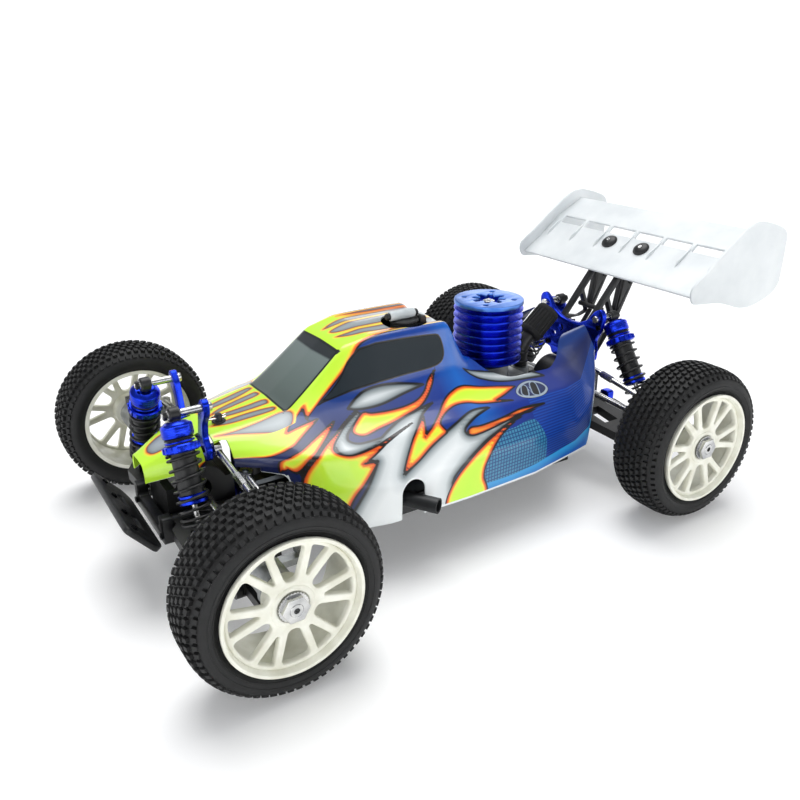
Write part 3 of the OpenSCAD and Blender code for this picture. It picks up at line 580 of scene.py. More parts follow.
barrel_loop = [(38.9, -36), (40.3, -36.2), (40.5, -37.2), (40.1, -38), (37.4, -38), (36.8, -36),
               (36.4, -26), (36.2, -13), (36.6, -7.5), (37.6, -2.4), (38.4, -0.3), (39.3, 0), (40.2, -0.3),
               (40.5, -1.1), (40.3, -2.2), (38.9, -2.6), (38.9, -12), (38.9, -24)]
hub_loop = [(4.2, -17.5), (12.2, -17.5), (12.8, -16), (13, -9), (12.6, -4.4), (11.9, -3.5), (10.6, -3.2),
            (9.4, -3.6), (9.1, -4.8), (4.2, -4.8)]
teeth = [p for k in range(30) for p in (polar(8.9, k * math.pi / 15), polar(8.2, (k + 0.5) * math.pi / 15))]
for c in CORNERS:
    lip = facing((axle[c].x, side_of[c] * lip_y[c], axle[c].z), (0, side_of[c], 0))
    rim = Piece()
    rim.turned(barrel_loop, lip, count=96, closed=True)
    rim.turned(hub_loop, lip, count=48, closed=True)
    holes = [circle(8.6, 40)[::-1]]
    for k in range(6):
        holes.append(window(k * 60, 18.2, 35.0, 0.75, 5.3, 1.6))
        holes.append(window(k * 60 + 30, 14.6, 35.0, 3.1, 8.9, 3.4))
    rim.cut(circle(37.4, 120), lip @ shift(z=-5.8), 4.6, 1.0, holes, raised=domed)
    settle(rim.made("spoked_rim_" + c, rim_nylon, crease=50), "wheel_" + c, "rim_nylon", "rim_" + c)
    nut = Piece()
    nut.cut(circle(8.0, 6), lip @ shift(z=-1.3), 3.8, 0.5, [circle(3.7, 24)])
    nut.cut(teeth, lip @ shift(z=-3.4), 1.4, 0.2, [circle(3.7, 24)])
    nut.turned([(3.9, -28), (3.9, 0.2), (3.5, 0.7), (1.7, 0.7), (1.6, -4), (0, -4)], lip, count=24)
    cup = lip_y[c] / MM - abs(axle[c].y) / MM
    nut.turned([(4.2, 10 - cup), (6.9, 10 - cup), (7, 9 - cup), (7, -5.8 - cup), (6.8, -6 - cup),
                (6, -6 - cup), (6, 8.8 - cup), (4.2, 8.8 - cup)], lip, count=32, closed=True)
    nut.cut(circle(9.6, 6), lip @ shift(z=20.7 - cup), 7.0, 0.4, [circle(4.1, 24)])
    settle(nut.made("wheel_nut_" + c, steel), "wheel_" + c, "machined_steel")
print("spoke windows in each rim:", len(holes) - 1)

# %% [markdown]
# ## Shell form
# The shell is one sheet of clear polycarbonate, drawn hot over a mould and painted from the
# inside. It is modelled the same way: cross-sections from nose to tail give one continuous skin,
# its folds are softened as a drawn sheet's are, and the openings are cut out last.

# %% Sections
crown = [(195, 84), (178, 92), (160, 98.5), (120, 105), (104, 108), (62, 141), (40, 145), (0, 146),
         (-20, 144), (-34, 116), (-100, 112), (-152, 120)]
edge_y = [(195, 9), (178, 15), (160, 20), (138, 24), (104, 28), (62, 27), (40, 30), (-20, 31), (-152, 30)]
edge_z = [(195, 83.5), (178, 91.5), (160, 98), (120, 104), (104, 106.5), (62, 140), (40, 143.5), (-20, 141),
          (-34, 115), (-100, 110), (-152, 119)]
belt_y = [(195, 11), (178, 19), (160, 26), (138, 35), (120, 41), (-10, 41), (-34, 38), (-119, 38),
          (-152, 33)]
belt_z = [(195, 81), (160, 95.5), (120, 99), (104, 102), (84, 108), (-20, 113), (-34, 108), (-60, 104),
          (-119, 106), (-152, 116)]
deck_y = [(195, 12), (178, 21.5), (160, 30), (138, 42), (112, 56), (84, 58), (0, 57), (-60, 52), (-119, 49),
          (-152, 36)]
deck_z = [(195, 79), (160, 92), (112, 94), (62, 98), (-20, 98), (-100, 97), (-119, 99), (-152, 112)]
rail_y = [(195, 12.5), (178, 22.5), (160, 31.5), (138, 46), (120, 59), (104, 70), (84, 74), (0, 74),
          (-100, 69), (-119, 64), (-135, 52), (-152, 39)]
rail_z = [(195, 77), (160, 89), (84, 89), (0, 90.5), (-100, 90), (-119, 91), (-152, 108)]
side_y = [(195, 12.5), (178, 22.8), (160, 32), (138, 47), (120, 61), (104, 75), (84, 83), (62, 88), (0, 88),
          (-60, 86), (-115, 81), (-119, 78), (-135, 62), (-152, 42)]
side_z = [(195, 75), (160, 86.5), (120, 84), (112, 70), (62, 65), (-100, 66), (-115, 78), (-119, 84),
          (-135, 92), (-152, 104)]
sill_y = [(195, 12), (178, 22), (160, 31), (138, 46), (120, 60), (104, 73), (84, 82), (62, 87), (0, 87.5),
          (-60, 84.5), (-115, 80.5), (-119, 78.5), (-135, 63), (-152, 42.5)]
sill_z = [(195, 72), (160, 83), (120, 78), (112, 46), (84, 38.5), (-60, 38), (-115, 44), (-119, 81),
          (-135, 90), (-152, 102)]
folds = [([(195, 0), (-152, 0)], crown), (edge_y, edge_z), (belt_y, belt_z), (deck_y, deck_z),
         (rail_y, rail_z), (side_y, side_z), (sill_y, sill_z)]
NOSE, TAIL = 195, -152
RUNS = [0, 30, 63, 83, 101, 129, 156]  # how far down the skin each fold lies, once it is unrolled
SHELL, FOLD_REACH = 1.2, 3.2


def at(curve, x):
    """Value of a curve of (x, value) points at x."""
    line = np.array(curve)[::-1]
    return np.interp(x, line[:, 0], line[:, 1])


def section(x):
    """Corner points of half a cross-section, from the crown line down to the sill."""
    return np.array([(at(across, x), at(up, x)) for across, up in folds])


# %% Skin
STATIONS, ACROSS = 196, 82
xs = np.linspace(NOSE, TAIL, STATIONS)
rows = []
for x in xs:
    corners = section(x)
    line = [corners[0]]
    for a, b, c in zip(corners, corners[1:], corners[2:]):
        near, far = [b + (end - b) * min(0.3, FOLD_REACH / max(np.linalg.norm(end - b), 1e-6))
                     for end in (a, c)]
        for t in np.linspace(0, 1, 6):
            line.append(near * (1 - t) ** 2 + b * 2 * t * (1 - t) + far * t ** 2)
    line.append(corners[-1])
    line = np.array(line)
    # Each fold keeps its own share of the points, so that it runs straight along the shell.
    run = np.concatenate([[0], np.cumsum(np.linalg.norm(np.diff(line, axis=0), axis=1))])
    marks = np.concatenate([[0], run[3:-1:6], [run[-1]]])
    spread = np.interp(np.linspace(0, 6, ACROSS), np.arange(7), marks)
    rows.append(np.stack([np.interp(spread, run, line[:, 0]), np.interp(spread, run, line[:, 1])], 1))
rows = np.array(rows)
kernel = np.exp(-0.5 * (np.arange(-3, 4) / 1.1) ** 2)
kernel /= kernel.sum()
padded = np.concatenate([np.repeat(rows[:1], 3, 0), rows, np.repeat(rows[-1:], 3, 0)])
rows = sum(k * padded[i:i + len(rows)] for i, k in enumerate(kernel))
grid = np.concatenate([rows[:, :0:-1] * (-1, 1), rows], axis=1)
wide = grid.shape[1]
# Low rails stand along both edges of the roof and rise to the rear.
for x, ring in zip(xs, grid):
    rail = np.interp(abs(ring[:, 0]), [19, 25, 30, 34], [0, 0.8, 1, 0])
    ring[:, 1] += rail * np.interp(x, [-26, -18, 20, 66], [0, 3.4, 2.2, 0])
skin = [(mid_x / MM + x, p[0], p[1]) for x, ring in zip(xs, grid) for p in ring]
quads = [(i * wide + k, i * wide + k + 1, (i + 1) * wide + k + 1, (i + 1) * wide + k)
         for i in range(len(xs) - 1) for k in range(wide - 1)]
shell_piece = Piece()
shell_piece.put(skin, quads, Matrix())
shell = shell_piece.made("painted_shell", crease=60)
print("skin points:", len(skin))

# %% [markdown]
# ## Openings
# The maker trims the sheet with scissors and a reamer: a well over the engine, slots for the
# front tower and its links, room under the nose for the steering plate, a hole for the tank's lid
# and an arch for the exhaust. Here one cutter holds all of them, and a Boolean takes it from the
# thickened skin.

# %% Trimming
wall = shell.modifiers.new("wall", "SOLIDIFY")
wall.thickness = SHELL * MM
wall.offset = -1
wall.use_even_offset = False
shell.data = evaluated(shell)
shell.modifiers.clear()
X = Matrix.Translation((mid_x, 0, 0))
ALONG_Y = Matrix.Rotation(math.radians(90), 4, "X")
cutter_piece = Piece()


def hole(outline, low, high, place=Matrix()):
    """Adds a straight cutter with that outline."""
    cutter_piece.cut(outline, X @ place @ shift(z=(low + high) / 2), high - low, 0.01)


well = [(-36, 28.8), (-50, 40), (-64, 47.8), (-102, 47.8), (-112, 42.8), (-124, 31.8), (-130, 28.8),
        (-170, 28.8)]
well += [(x, -y) for x, y in reversed(well)]
hole(rounded(well, 4), 80, 160)
hole([(-48, -28.5), (-29, -28.5), (-29, 28.5), (-48, 28.5)][::-1], 79, 107)
for s in (-1, 1):
    hole(rounded([(154.2, s * 13), (161.8, s * 13), (161.8, s * 36), (154.2, s * 36)], 1.5), 70, 130)
    hole(rounded([(146.7, s * 27.4), (157.3, s * 27.4), (157.3, s * 52.6), (146.7, s * 52.6)], 2), 71, 97)
hole([(133.3, -59), (149.7, -59), (149.7, 59), (133.3, 59)], 68, 82.6)
hole(circle(16.3, 40, (5, 12)), 120, 165)
arch = [(37.3, 20), (54.7, 20)] + [polar(8.7, a, (46, 57)) for a in np.linspace(0, math.pi, 17)]
hole(arch, -100, -72, ALONG_Y)
cutter = cutter_piece.made("cutter")
trim = shell.modifiers.new("trim", "BOOLEAN")
trim.operation = "DIFFERENCE"
trim.solver = "EXACT"
trim.use_self = True
trim.object = cutter
shell.data = evaluated(shell)
shell.modifiers.clear()
bpy.data.objects.remove(cutter)
tidy(shell, 50)
print("shell faces after trimming:", len(shell.data.polygons))

# %% [markdown]
# ## Paint layout
# The painter masks the shell and sprays it layer by layer. Each mask is a flame with long curved
# tips. To lay them out, the shell is unrolled: one axis runs along the car, the other runs from the
# crown line down to the sill. Every point then stores how far it is from the edge of each layer
# of masks, and the paint turns those distances into outlines and fades.


# %% Masks
def flame(points, steps=7):
    """Smooth outline through the points; a sharp turn stays a sharp tip."""
    p = [np.array(q, float) for q in points]
    count, lean = len(p), []
    for i in range(count):
        back, ahead = p[i] - p[i - 1], p[(i + 1) % count] - p[i]
        turn = np.dot(back, ahead) / (np.linalg.norm(back) * np.linalg.norm(ahead) + 1e-9)
        lean.append(np.zeros(2) if turn < 0.05 else (p[(i + 1) % count] - p[i - 1]) / 2)
    out = []
    for i in range(count):
        a, b, m, n = p[i], p[(i + 1) % count], lean[i], lean[(i + 1) % count]
        for t in np.arange(steps) / steps:
            out.append((2 * t**3 - 3 * t**2 + 1) * a + (t**3 - 2 * t**2 + t) * m
                       + (3 * t**2 - 2 * t**3) * b + (t**3 - t**2) * n)
    return np.array(out)


def distance(spots, outline):
    """Signed distance in mm from each spot to an outline, negative inside."""
    a, b = outline, np.roll(outline, -1, axis=0)
    best = np.full(len(spots), 1e9)
    inside = np.zeros(len(spots), bool)
    for (ax, ay), (bx, by) in zip(a, b):
        dx, dy = bx - ax, by - ay
        t = np.clip(((spots[:, 0] - ax) * dx + (spots[:, 1] - ay) * dy) / (dx * dx + dy * dy + 1e-12), 0, 1)
        best = np.minimum(best, (spots[:, 0] - ax - t * dx) ** 2 + (spots[:, 1] - ay - t * dy) ** 2)
        crosses = (ay > spots[:, 1]) != (by > spots[:, 1])
        at_x = ax + (spots[:, 1] - ay) * dx / (dy if abs(dy) > 1e-12 else 1e-12)
        inside ^= crosses & (spots[:, 0] < at_x)
    return np.where(inside, -1, 1) * np.sqrt(best)


low_flames = [
    [(-73, 107), (-52, 110), (-34, 116), (-21, 124), (-13, 133), (-11, 143), (-14, 151), (-17, 164),
     (20, 164), (20, 153), (16, 143), (9, 134), (0, 127), (-13, 121), (-24, 117), (-40, 112)],
    [(66, 72), (79, 79), (96, 91), (107, 105), (113, 122), (113, 145), (108, 164), (92, 164), (90, 146),
     (86, 134), (79, 125), (67, 111), (77, 111), (69, 107), (55, 100), (33, 92), (50, 97), (68, 102),
     (84, 103), (92, 98), (90, 91), (81, 82), (73, 76)],
    [(82, 74), (106, 86), (123, 110), (124, 150), (117, 124), (107, 100)],
    [(-60, -12), (-60, 24), (-10, 25), (20, 26), (39, 28.5), (51, 31.5), (61, 41), (76, 48), (89, 57),
     (97.5, 65), (96, 46), (105, 57), (112.5, 68), (104, 67), (91, 68), (103, 75), (113, 83), (121, 92),
     (129, 99), (142, 104), (160, 120), (170, 160), (210, 170), (210, -12)],
]
high_flames = [
    [(52, 123), (44, 111), (36, 101), (22.5, 89), (29.5, 104.5), (21, 99), (11, 91), (1, 82), (-8, 77.5),
     (-18, 76), (-33, 79), (-61, 87), (-48, 91), (-37, 93.5), (-50, 97.5), (-26, 93), (-14, 88.5), (-3, 88),
     (8, 92.5), (15, 99), (12, 105.5), (26, 111), (39, 118)],
    [(62, 75), (73, 83), (74, 88), (68, 91.5), (56, 89.5), (44, 87.5), (32, 84.5), (21, 81.5), (12, 76),
     (3, 67.5), (-3, 58), (6, 66), (12, 72), (20, 76.5), (31, 78.5), (44, 78.5), (56, 77)],
]
hooks = [[(-75, 106.3), (-54, 105.4), (-34, 107.6), (-16, 108.4), (-7, 107.6), (-3, 109.8), (-7, 112.2),
          (-18, 112), (-36, 110), (-55, 107.5)]]
silver = [
    [(88, 147), (84, 164), (20, 164), (14, 136), (-10, 121), (-35, 113), (-56, 108), (-33, 108.6),
     (-14, 111.6), (-4, 111.6), (-2, 107), (-14, 101), (-28, 97.5), (-13, 96), (7, 103), (26, 111),
     (52, 124), (43, 110), (24, 89), (10, 81), (39, 87), (63, 99), (76, 110), (67, 111)],
    [(65, 73), (80, 81), (89, 90), (90, 99), (83, 103), (67, 101), (47, 96), (60, 96.5), (74, 96), (80, 92),
     (79, 87), (73, 82), (64, 76)],
    [(71, 77), (93, 90.5), (114, 117), (109, 119), (90, 94), (67, 79)],
    [(70, 69), (57, 61), (44, 59.5), (28, 61.5), (10, 67), (28, 69.5), (46, 72.5), (61, 72)],
    [(-27, 62), (-48, 66), (-76, 72), (-92, 85), (-60, 81), (-38, 72)],
]
# These lie on the crown, so they are laid out from above, as (x, distance from the centre line).
streaks = [
    [(152, 24), (140, 27), (124, 28), (108, 28), (103, 33), (108, 41), (116, 42), (128, 36), (141, 29)],
    [(150, 12), (140, 17), (126, 20), (111, 22), (109, 18.5), (118, 15), (132, 12.5)],
    [(146, 1.5), (138, 6.5), (124, 9.5), (110, 11), (110, 5), (124, 3.5)],
    [(173, -6), (173, 6), (176, 9), (181, 8.5), (187, 5), (189, -5)],
    [(58, 9), (48, 15), (30, 18.5), (8, 19), (-30, 21), (-30, 11), (10, 11), (34, 10.5)],
    [(56, -5), (56, 1.5), (44, 5.5), (20, 6.5), (-30, 7), (-30, -5)],
    [(40, 23), (20, 24.8), (-30, 26), (-30, 23.5), (10, 22)],
]
glass_side = [(89, 57.5), (71, 47.5), (55, 35.5), (44, 33.5), (0, 33.5), (-11, 37), (-8, 55), (24, 57),
              (60, 57.5)]
glass_front = [(65, -9), (65, 24), (67, 25.4), (104, 28.3), (106.5, 26), (107, -9)]
grid_patch = [(-13, 120), (-43, 116), (-64, 117), (-67, 153), (-30, 158), (-10, 158)]
sill_wedge = [(0, 148), (-40, 150), (-119, 142), (-119, 170), (0, 170)]
sill_strip = [(57, 151), (86, 150.5), (112, 149), (112, 170), (57, 170)]
vent_oval = [(-58, 92), (-66, 87), (-76, 86), (-84, 90), (-85, 96), (-78, 100), (-67, 100), (-59, 97)]
vent_slots = [[(-63, 97), (-61.4, 95), (-66, 89), (-69, 88.4), (-69, 91), (-65, 97.4)],
              [(-72, 98.6), (-69.8, 97.4), (-74, 89), (-77.6, 87.6), (-78.6, 90), (-74.6, 98.6)]]
print("masks:", len(low_flames + high_flames + hooks + silver + streaks) + 6)

# %% Unrolled places and distances
count = len(shell.data.vertices)
co = np.zeros(count * 3)
shell.data.vertices.foreach_get("co", co)
co = co.reshape(-1, 3) / MM - (mid_x / MM, 0, 0)
bands = [np.stack([at(across, co[:, 0]), at(up, co[:, 0])], 1) for across, up in folds]
flat = np.stack([abs(co[:, 1]), co[:, 2]], 1)
down, nearest = np.zeros(count), np.full(count, 1e9)
for i in range(6):
    a, step = bands[i], bands[i + 1] - bands[i]
    t = np.clip(((flat - a) * step).sum(1) / np.maximum((step ** 2).sum(1), 1e-9), 0, 1)
    away = ((a + t[:, None] * step - flat) ** 2).sum(1)
    down = np.where(away < nearest, RUNS[i] + t * (RUNS[i + 1] - RUNS[i]), down)
    nearest = np.minimum(nearest, away)
unrolled = np.stack([co[:, 0], down], 1)
above = np.stack([co[:, 0], abs(co[:, 1])], 1)


def union(shapes, spots):
    """Distance from each spot to the nearest of several masks."""
    return np.min([distance(spots, flame(shape)) for shape in shapes], axis=0)


FAR = 9.0
layers = {
    "low_flames": union(low_flames, unrolled), "high_flames": union(high_flames, unrolled),
    "hooks": union(hooks, unrolled), "silver": union(silver, unrolled),
    "streaks": np.where(down < 62, union(streaks, above), FAR),
    "side_glass": distance(unrolled, flame(glass_side)),
    "windscreen": np.where((down < 42) & (co[:, 0] > 55), distance(above, flame(glass_front)), FAR),
    "net": union([grid_patch], unrolled), "wedge": union([sill_wedge, sill_strip], unrolled),
    "vent": union([vent_oval], unrolled), "vent_slots": union(vent_slots, unrolled),
    "pod": np.maximum(co[:, 0] + 62, 100 - down),
    "cut_edge": np.minimum(155.6 - down,
                           np.where(co[:, 1] > 70, distance(co[:, [0, 2]], np.array(arch)), FAR))}
for name, values in layers.items():
    shell.data.attributes.new(name, "FLOAT", "POINT").data.foreach_set("value", values.astype(np.float32))
chart = np.concatenate([unrolled, np.zeros((count, 1))], 1).astype(np.float32)
shell.data.attributes.new("unrolled", "FLOAT_VECTOR", "POINT").data.foreach_set("vector", chart.ravel())
print("paint layers:", list(layers))

# %% [markdown]
# ## Shell paint
# Polycarbonate paint is seen through a millimetre of glossy clear sheet, so it looks wet and very
# even. The colours fade inside each flame: black keyline, orange rim, then acid green. Everything
# sits under one clear coat.


# %% Paint material
paint = bpy.data.materials.new("painted_polycarbonate")
paint.use_nodes = True
tree = paint.node_tree
body = tree.nodes["Principled BSDF"]


def spray(below, value, *stops):
    """Sprays one layer that follows a distance, by stops of (distance, colour, opacity)."""
    low, high = stops[0][0], stops[-1][0]
    span = node(tree, "ShaderNodeMapRange", {"Value": value, "From Min": low, "From Max": high})
    shares = [((place - low) / (high - low), colour, opacity) for place, colour, opacity in stops]
    coat = node(tree, "ShaderNodeValToRGB", {"Fac": span.outputs["Result"]}, stops=shares)
    return node(tree, "ShaderNodeMix", {0: coat.outputs["Alpha"], 6: below, 7: coat.outputs["Color"]},
                data_type="RGBA").outputs[2]


# The distance in mm that the skin stores for each layer of masks.
measured = {name: node(tree, "ShaderNodeAttribute", attribute_name=name).outputs["Fac"] for name in layers}
unrolled_at = node(tree, "ShaderNodeAttribute", attribute_name="unrolled").outputs["Vector"]
chart_at = node(tree, "ShaderNodeSeparateXYZ", {"Vector": unrolled_at})
along, downward = chart_at.outputs["X"], chart_at.outputs["Y"]
# The blue is the shell's own paint; its darkening towards both ends is painted shade, and its bright band round
# the roof's rear pillar, near x = -18 mm, is a painted highlight.
colour = spray(linear("#0a2f96"), along, (-125, "#04154a", 1), (-95, "#05247e", 1), (-40, "#062e8e", 1),
               (-18, "#0d64be", 1), (0, "#062f86", 1), (60, "#052266", 1), (125, "#05184c", 1))
# Lighter near the belt line and darker down to the sill: a painted highlight on the shoulder and painted shade low
# on the side.
colour = spray(colour, downward, (60, "#0a55b4", 0.25), (84, "#0b3a9c", 0.0), (130, "#061550", 0.45),
               (156, "#04103c", 0.6))
# Fine stripes over the rear of the pod, two millimetres apart.
stripes = node(tree, "ShaderNodeTexWave", {"Vector": unrolled_at, "Scale": 0.157}, bands_direction="Y")
pod = node(tree, "ShaderNodeMapRange",
           {"Value": measured["pod"], "From Min": 0.5, "From Max": -0.5, "To Max": 0.6})
striped = node(tree, "ShaderNodeMath", {0: stripes.outputs["Fac"], 1: pod.outputs["Result"]},
               operation="MULTIPLY")
colour = node(tree, "ShaderNodeMix", {0: striped.outputs[0], 6: colour, 7: linear("#1256bc")},
              data_type="RGBA").outputs[2]
# Net patch: teal squares between dark threads.
net = node(tree, "ShaderNodeTexBrick", {
    "Vector": unrolled_at, "Color1": linear("#3a86a8"), "Color2": linear("#327ea4"),
    "Mortar": linear("#0c3f78"), "Scale": 1.0, "Mortar Size": 0.42, "Mortar Smooth": 0.2,
    "Brick Width": 2.6, "Row Height": 2.6}, offset=0.0)
netted = node(tree, "ShaderNodeMath", {0: measured["net"], 1: 0.0}, operation="LESS_THAN")
colour = node(tree, "ShaderNodeMix", {0: netted.outputs[0], 6: colour, 7: net.outputs["Color"]},
              data_type="RGBA").outputs[2]
fiery = [(-14, "#c4f53a", 1), (-4.2, "#cdf43a", 1), (-2.6, "#f2e23a", 1), (-1.6, "#f5791c", 1),
         (-0.6, "#d9480f", 1), (-0.2, "#140c08", 1), (0.7, "#0a0808", 1), (1.0, "#0a0808", 0)]
# The windows are clear sheet with a black line round them; their dark grey is painted shade
# of the inside seen through the sheet.
glass = [(-6, "#2a3136", 1), (-1.1, "#2a3136", 1), (-0.7, "#07080a", 1), (0.4, "#07080a", 1),
         (0.7, "#07080a", 0)]
coats = [
    ("wedge", (-8, "#0c58b4", 1), (-1, "#2a9ad8", 1), (0.1, "#2a9ad8", 1), (0.4, "#2a9ad8", 0)),
    ("silver", (-14, "#eef2f2", 1), (-6, "#d4dadb", 1), (-1.6, "#7f8a8e", 1), (-0.5, "#0a0c12", 1),
     (0.7, "#06080e", 1), (1.2, "#06080e", 0)),
    ("low_flames", *fiery), ("high_flames", *fiery),
    ("hooks", (-3, "#f7c437", 1), (-1.4, "#f39a2a", 1), (-0.5, "#e05a14", 1), (0.0, "#0c0808", 1),
     (0.9, "#0c0808", 1), (1.2, "#0c0808", 0)),
    ("streaks", (-8, "#aab2b5", 1), (-2.4, "#8e979b", 1), (-0.7, "#6d7478", 1), (-0.3, "#5a2a10", 1),
     (0.4, "#ee7b22", 1), (1.4, "#f0e23e", 1), (2.4, "#f0e23e", 0)),
    ("vent", (-6, "#10255c", 1), (-1.6, "#0c1c48", 1), (-1.3, "#9aa8b4", 1), (0.0, "#9aa8b4", 1),
     (0.2, "#060a18", 1), (0.8, "#060a18", 0)),
    # The slots' near-black is painted shade in recesses that the skin does not have.
    ("vent_slots", (-1, "#04060c", 1), (-0.1, "#04060c", 1), (0.1, "#8fa0b4", 1), (0.7, "#8fa0b4", 1),
     (0.9, "#8fa0b4", 0)),
    ("side_glass", *glass), ("windscreen", *glass)]
for name, *stops in coats:
    colour = spray(colour, measured[name], *stops)
place = node(tree, "ShaderNodeTexCoord").outputs["Object"]
height = node(tree, "ShaderNodeSeparateXYZ", {"Vector": place}).outputs["Z"]
# On the windscreen the grey-green lightening upwards to 132.5 mm is a painted reflection; above 133.5 mm it turns
# dark.
screen = spray(linear("#5d6a66"), height, (0.10, "#4a5450", 1), (0.118, "#5d6a66", 1),
               (0.1325, "#6c7876", 1), (0.1335, "#20262a", 1), (0.142, "#22282c", 1))
glazed = node(tree, "ShaderNodeMath", {0: measured["windscreen"], 1: -0.9}, operation="LESS_THAN")
colour = node(tree, "ShaderNodeMix", {0: glazed.outputs[0], 6: colour, 7: screen},
              data_type="RGBA").outputs[2]
# Cut edges of clear sheet catch the light as a white line.
colour = spray(colour, measured["cut_edge"], (-1, "#e6ebeb", 1), (0.9, "#e6ebeb", 1), (1.2, "#e6ebeb", 0))
tree.links.new(colour, body.inputs["Base Color"])
for key, value in {"Roughness": 0.3, "IOR": 1.585, "Coat Roughness": 0.04}.items():
    body.inputs[key].default_value = value
# Only the painted skin is polished; the clear windows reflect less over their dark inside.
gloss = node(tree, "ShaderNodeMapRange",
             {"Value": measured["side_glass"], "From Min": -1.0, "From Max": 0.5,
                                          "To Min": 0.05, "To Max": 0.4})
for key in ("Coat Weight", "Specular IOR Level"):
    tree.links.new(gloss.outputs["Result"], body.inputs[key])
ripple = node(tree, "ShaderNodeTexNoise", {"Vector": place, "Scale": 45.0, "Detail": 1.0})
relief = node(tree, "ShaderNodeBump",
              {"Height": ripple.outputs["Fac"], "Distance": 0.0006, "Strength": 0.35})
tree.links.new(relief.outputs["Normal"], body.inputs["Normal"])
shell.data.materials.clear()
shell.data.materials.append(paint)
settle(shell, "chassis", "shell_paint", "body_shell")
print("paint nodes:", len(tree.nodes))

# %% [markdown]
# ## Shocks
# A coil-over shock is an aluminium tube with a knurled spring collar, a black coil spring and a
# polished shaft. Body and shaft slide past each other, so each shock is three pieces; the spring is
# built at its rest length and stays where it is made. The turned parts are lathe profiles measured
# down from the upper eye.

# %% Shock bodies, shafts and springs
DOWN_Y = {c: Vector(joints["shock_stroke_" + c]["axis"]) for c in CORNERS}
EYE = {c: Vector(joints["shock_tilt_" + c]["pos_m"]) for c in CORNERS}
SHOCK_LENGTH = {"f": 74.17, "r": 85.16}
BODY_END = {"f": 54, "r": 57}
COLLAR_AT, CUP_AT, WIRE_R = 23.0, 9.5, 0.95
TURNS = {"f": 7.5, "r": 8.5}


def ring_loop(inner, outer, low, high, soft=0.5):
    """Profile of a plain ring with softened edges."""
    return [(inner, low), (outer - soft, low), (outer, low + soft), (outer, high - soft),
            (outer - soft, high), (inner, high)]


def washer(piece, place, inner, outer, low, high, slot=0, soft=0.5, count=40):
    """Adds a turned ring to a piece."""
    piece.turned(ring_loop(inner, outer, low, high, soft), place, slot, count, closed=True)


def helix(radius, low, high, turns, per_turn=26):
    """Coil path: closed flat end turns, then an even pitch."""
    total = int(turns * per_turn)
    path = []
    for k in range(total + 1):
        share = k / total
        lift = np.interp(share, [0, 0.9 / turns, 1 - 0.9 / turns, 1], [0, 0.045, 0.955, 1])
        a = share * turns * 2 * math.pi
        path.append((*polar(radius, a), low + (high - low) * lift))
    return path


for c in CORNERS:
    long, end = SHOCK_LENGTH[c[0]], BODY_END[c[0]]
    along = facing(EYE[c], DOWN_Y[c])
    body_piece = Piece()
    body_piece.turned([(0, 14), (7.4, 14), (7.4, end - 6), (7.4, end - 0.6), (3, end - 0.4),
                       (2.2, end - 0.4), (2.2, 20), (0, 20)], along, 1)
    cap = [(0, 4.2), (5.4, 4.2), (6.6, 4.5), (7.4, 5.2), (9.0, 6.0), (9.5, 6.8), (9.5, 13.0), (9.0, 13.8),
           (7.3, 13.8), (0, 13.8)]
    body_piece.turned(cap, along, 0)
    for k in range(3):
        washer(body_piece, along, 9.2, 9.62, 7.4 + k * 2.0, 8.3 + k * 2.0, 0, 0.15)
    for ring in ((7.2, 8.9, 14.0, 15.4, 1, 0.6), (7.2, 9.0, 15.9, 17.2, 0, 0.4)):
        washer(body_piece, along, *ring)
    for x, y in circle(10.35, 16):
        rib = along @ shift(x, y)
        body_piece.block((-0.75, -0.75, 18.6), (0.75, 0.75, 22.2), rib, 0.3, 0)
    for ring in ((7.2, 10.6, 18.0, 22.9, 0, 0.7), (7.0, 8.6, end - 6, end - 3.6, 0, 0.6),
                 (7.0, 8.2, end - 3.4, end - 3.0, 1, 0.1), (7.0, 8.6, end - 2.8, end, 0, 0.6)):
        washer(body_piece, along, *ring)
    cross = facing(EYE[c], (1, 0, 0), (0, 1, 0))
    washer(body_piece, cross, 1.6, 4.5, -3.4, 3.4, 1, 0.8)
    washer(body_piece, cross, 1.6, 3.0, -3.5, 3.5, 2, 0.3)
    body_piece.turned([(0, 3.2), (3.2, 3.2), (3.2, 5.4), (0, 5.4)], along, 1, 24)
    settle(body_piece.made("shock_tube_" + c, anodised, nylon, steel), "shock_body_" + c, "anodised_blue",
           "shock_body_" + c)

    shaft = Piece()
    shaft.turned([(0, 32), (5.7, 32), (5.9, 33), (5.9, 34), (5.7, 35), (1.75, 35), (1.75, long - 9.2),
                  (0, long - 9.2)], along, 0, 28)
    cup = [(1.9, long - 9.5), (9.6, long - 9.5), (10.2, long - 9.1), (10.2, long - 8.1), (9.4, long - 7.5),
           (6.0, long - 7.2), (3.2, long - 5.4), (1.9, long - 5.2)]
    shaft.turned(cup, along, 1, 36, closed=True)
    shaft.turned([(0, long - 8.5), (3.0, long - 8.2), (3.0, long - 3.2), (2.6, long - 2.6),
                  (0, long - 2.6)], along, 1, 24)
    low_eye = facing(EYE[c] + DOWN_Y[c] * long * MM, (1, 0, 0), (0, 1, 0))
    washer(shaft, low_eye, 3.2, 4.5, -3.0, 3.0, 1, 0.7)
    settle(shaft.made("shock_rod_" + c, steel, nylon), "shock_shaft_" + c, "machined_steel",
           "shock_shaft_" + c)

    coil = Piece()
    coil.wire(helix(9.3, COLLAR_AT + WIRE_R + 0.1, long - CUP_AT - WIRE_R - 0.1, TURNS[c[0]]), WIRE_R,
              along, count=8)
    thing = coil.made("coil_" + c, coated, crease=60)
    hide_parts("spring_" + c)
    start = EYE[c] + DOWN_Y[c] * (COLLAR_AT + 2) * MM
    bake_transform(thing)
print("shock lengths in mm:", SHOCK_LENGTH)

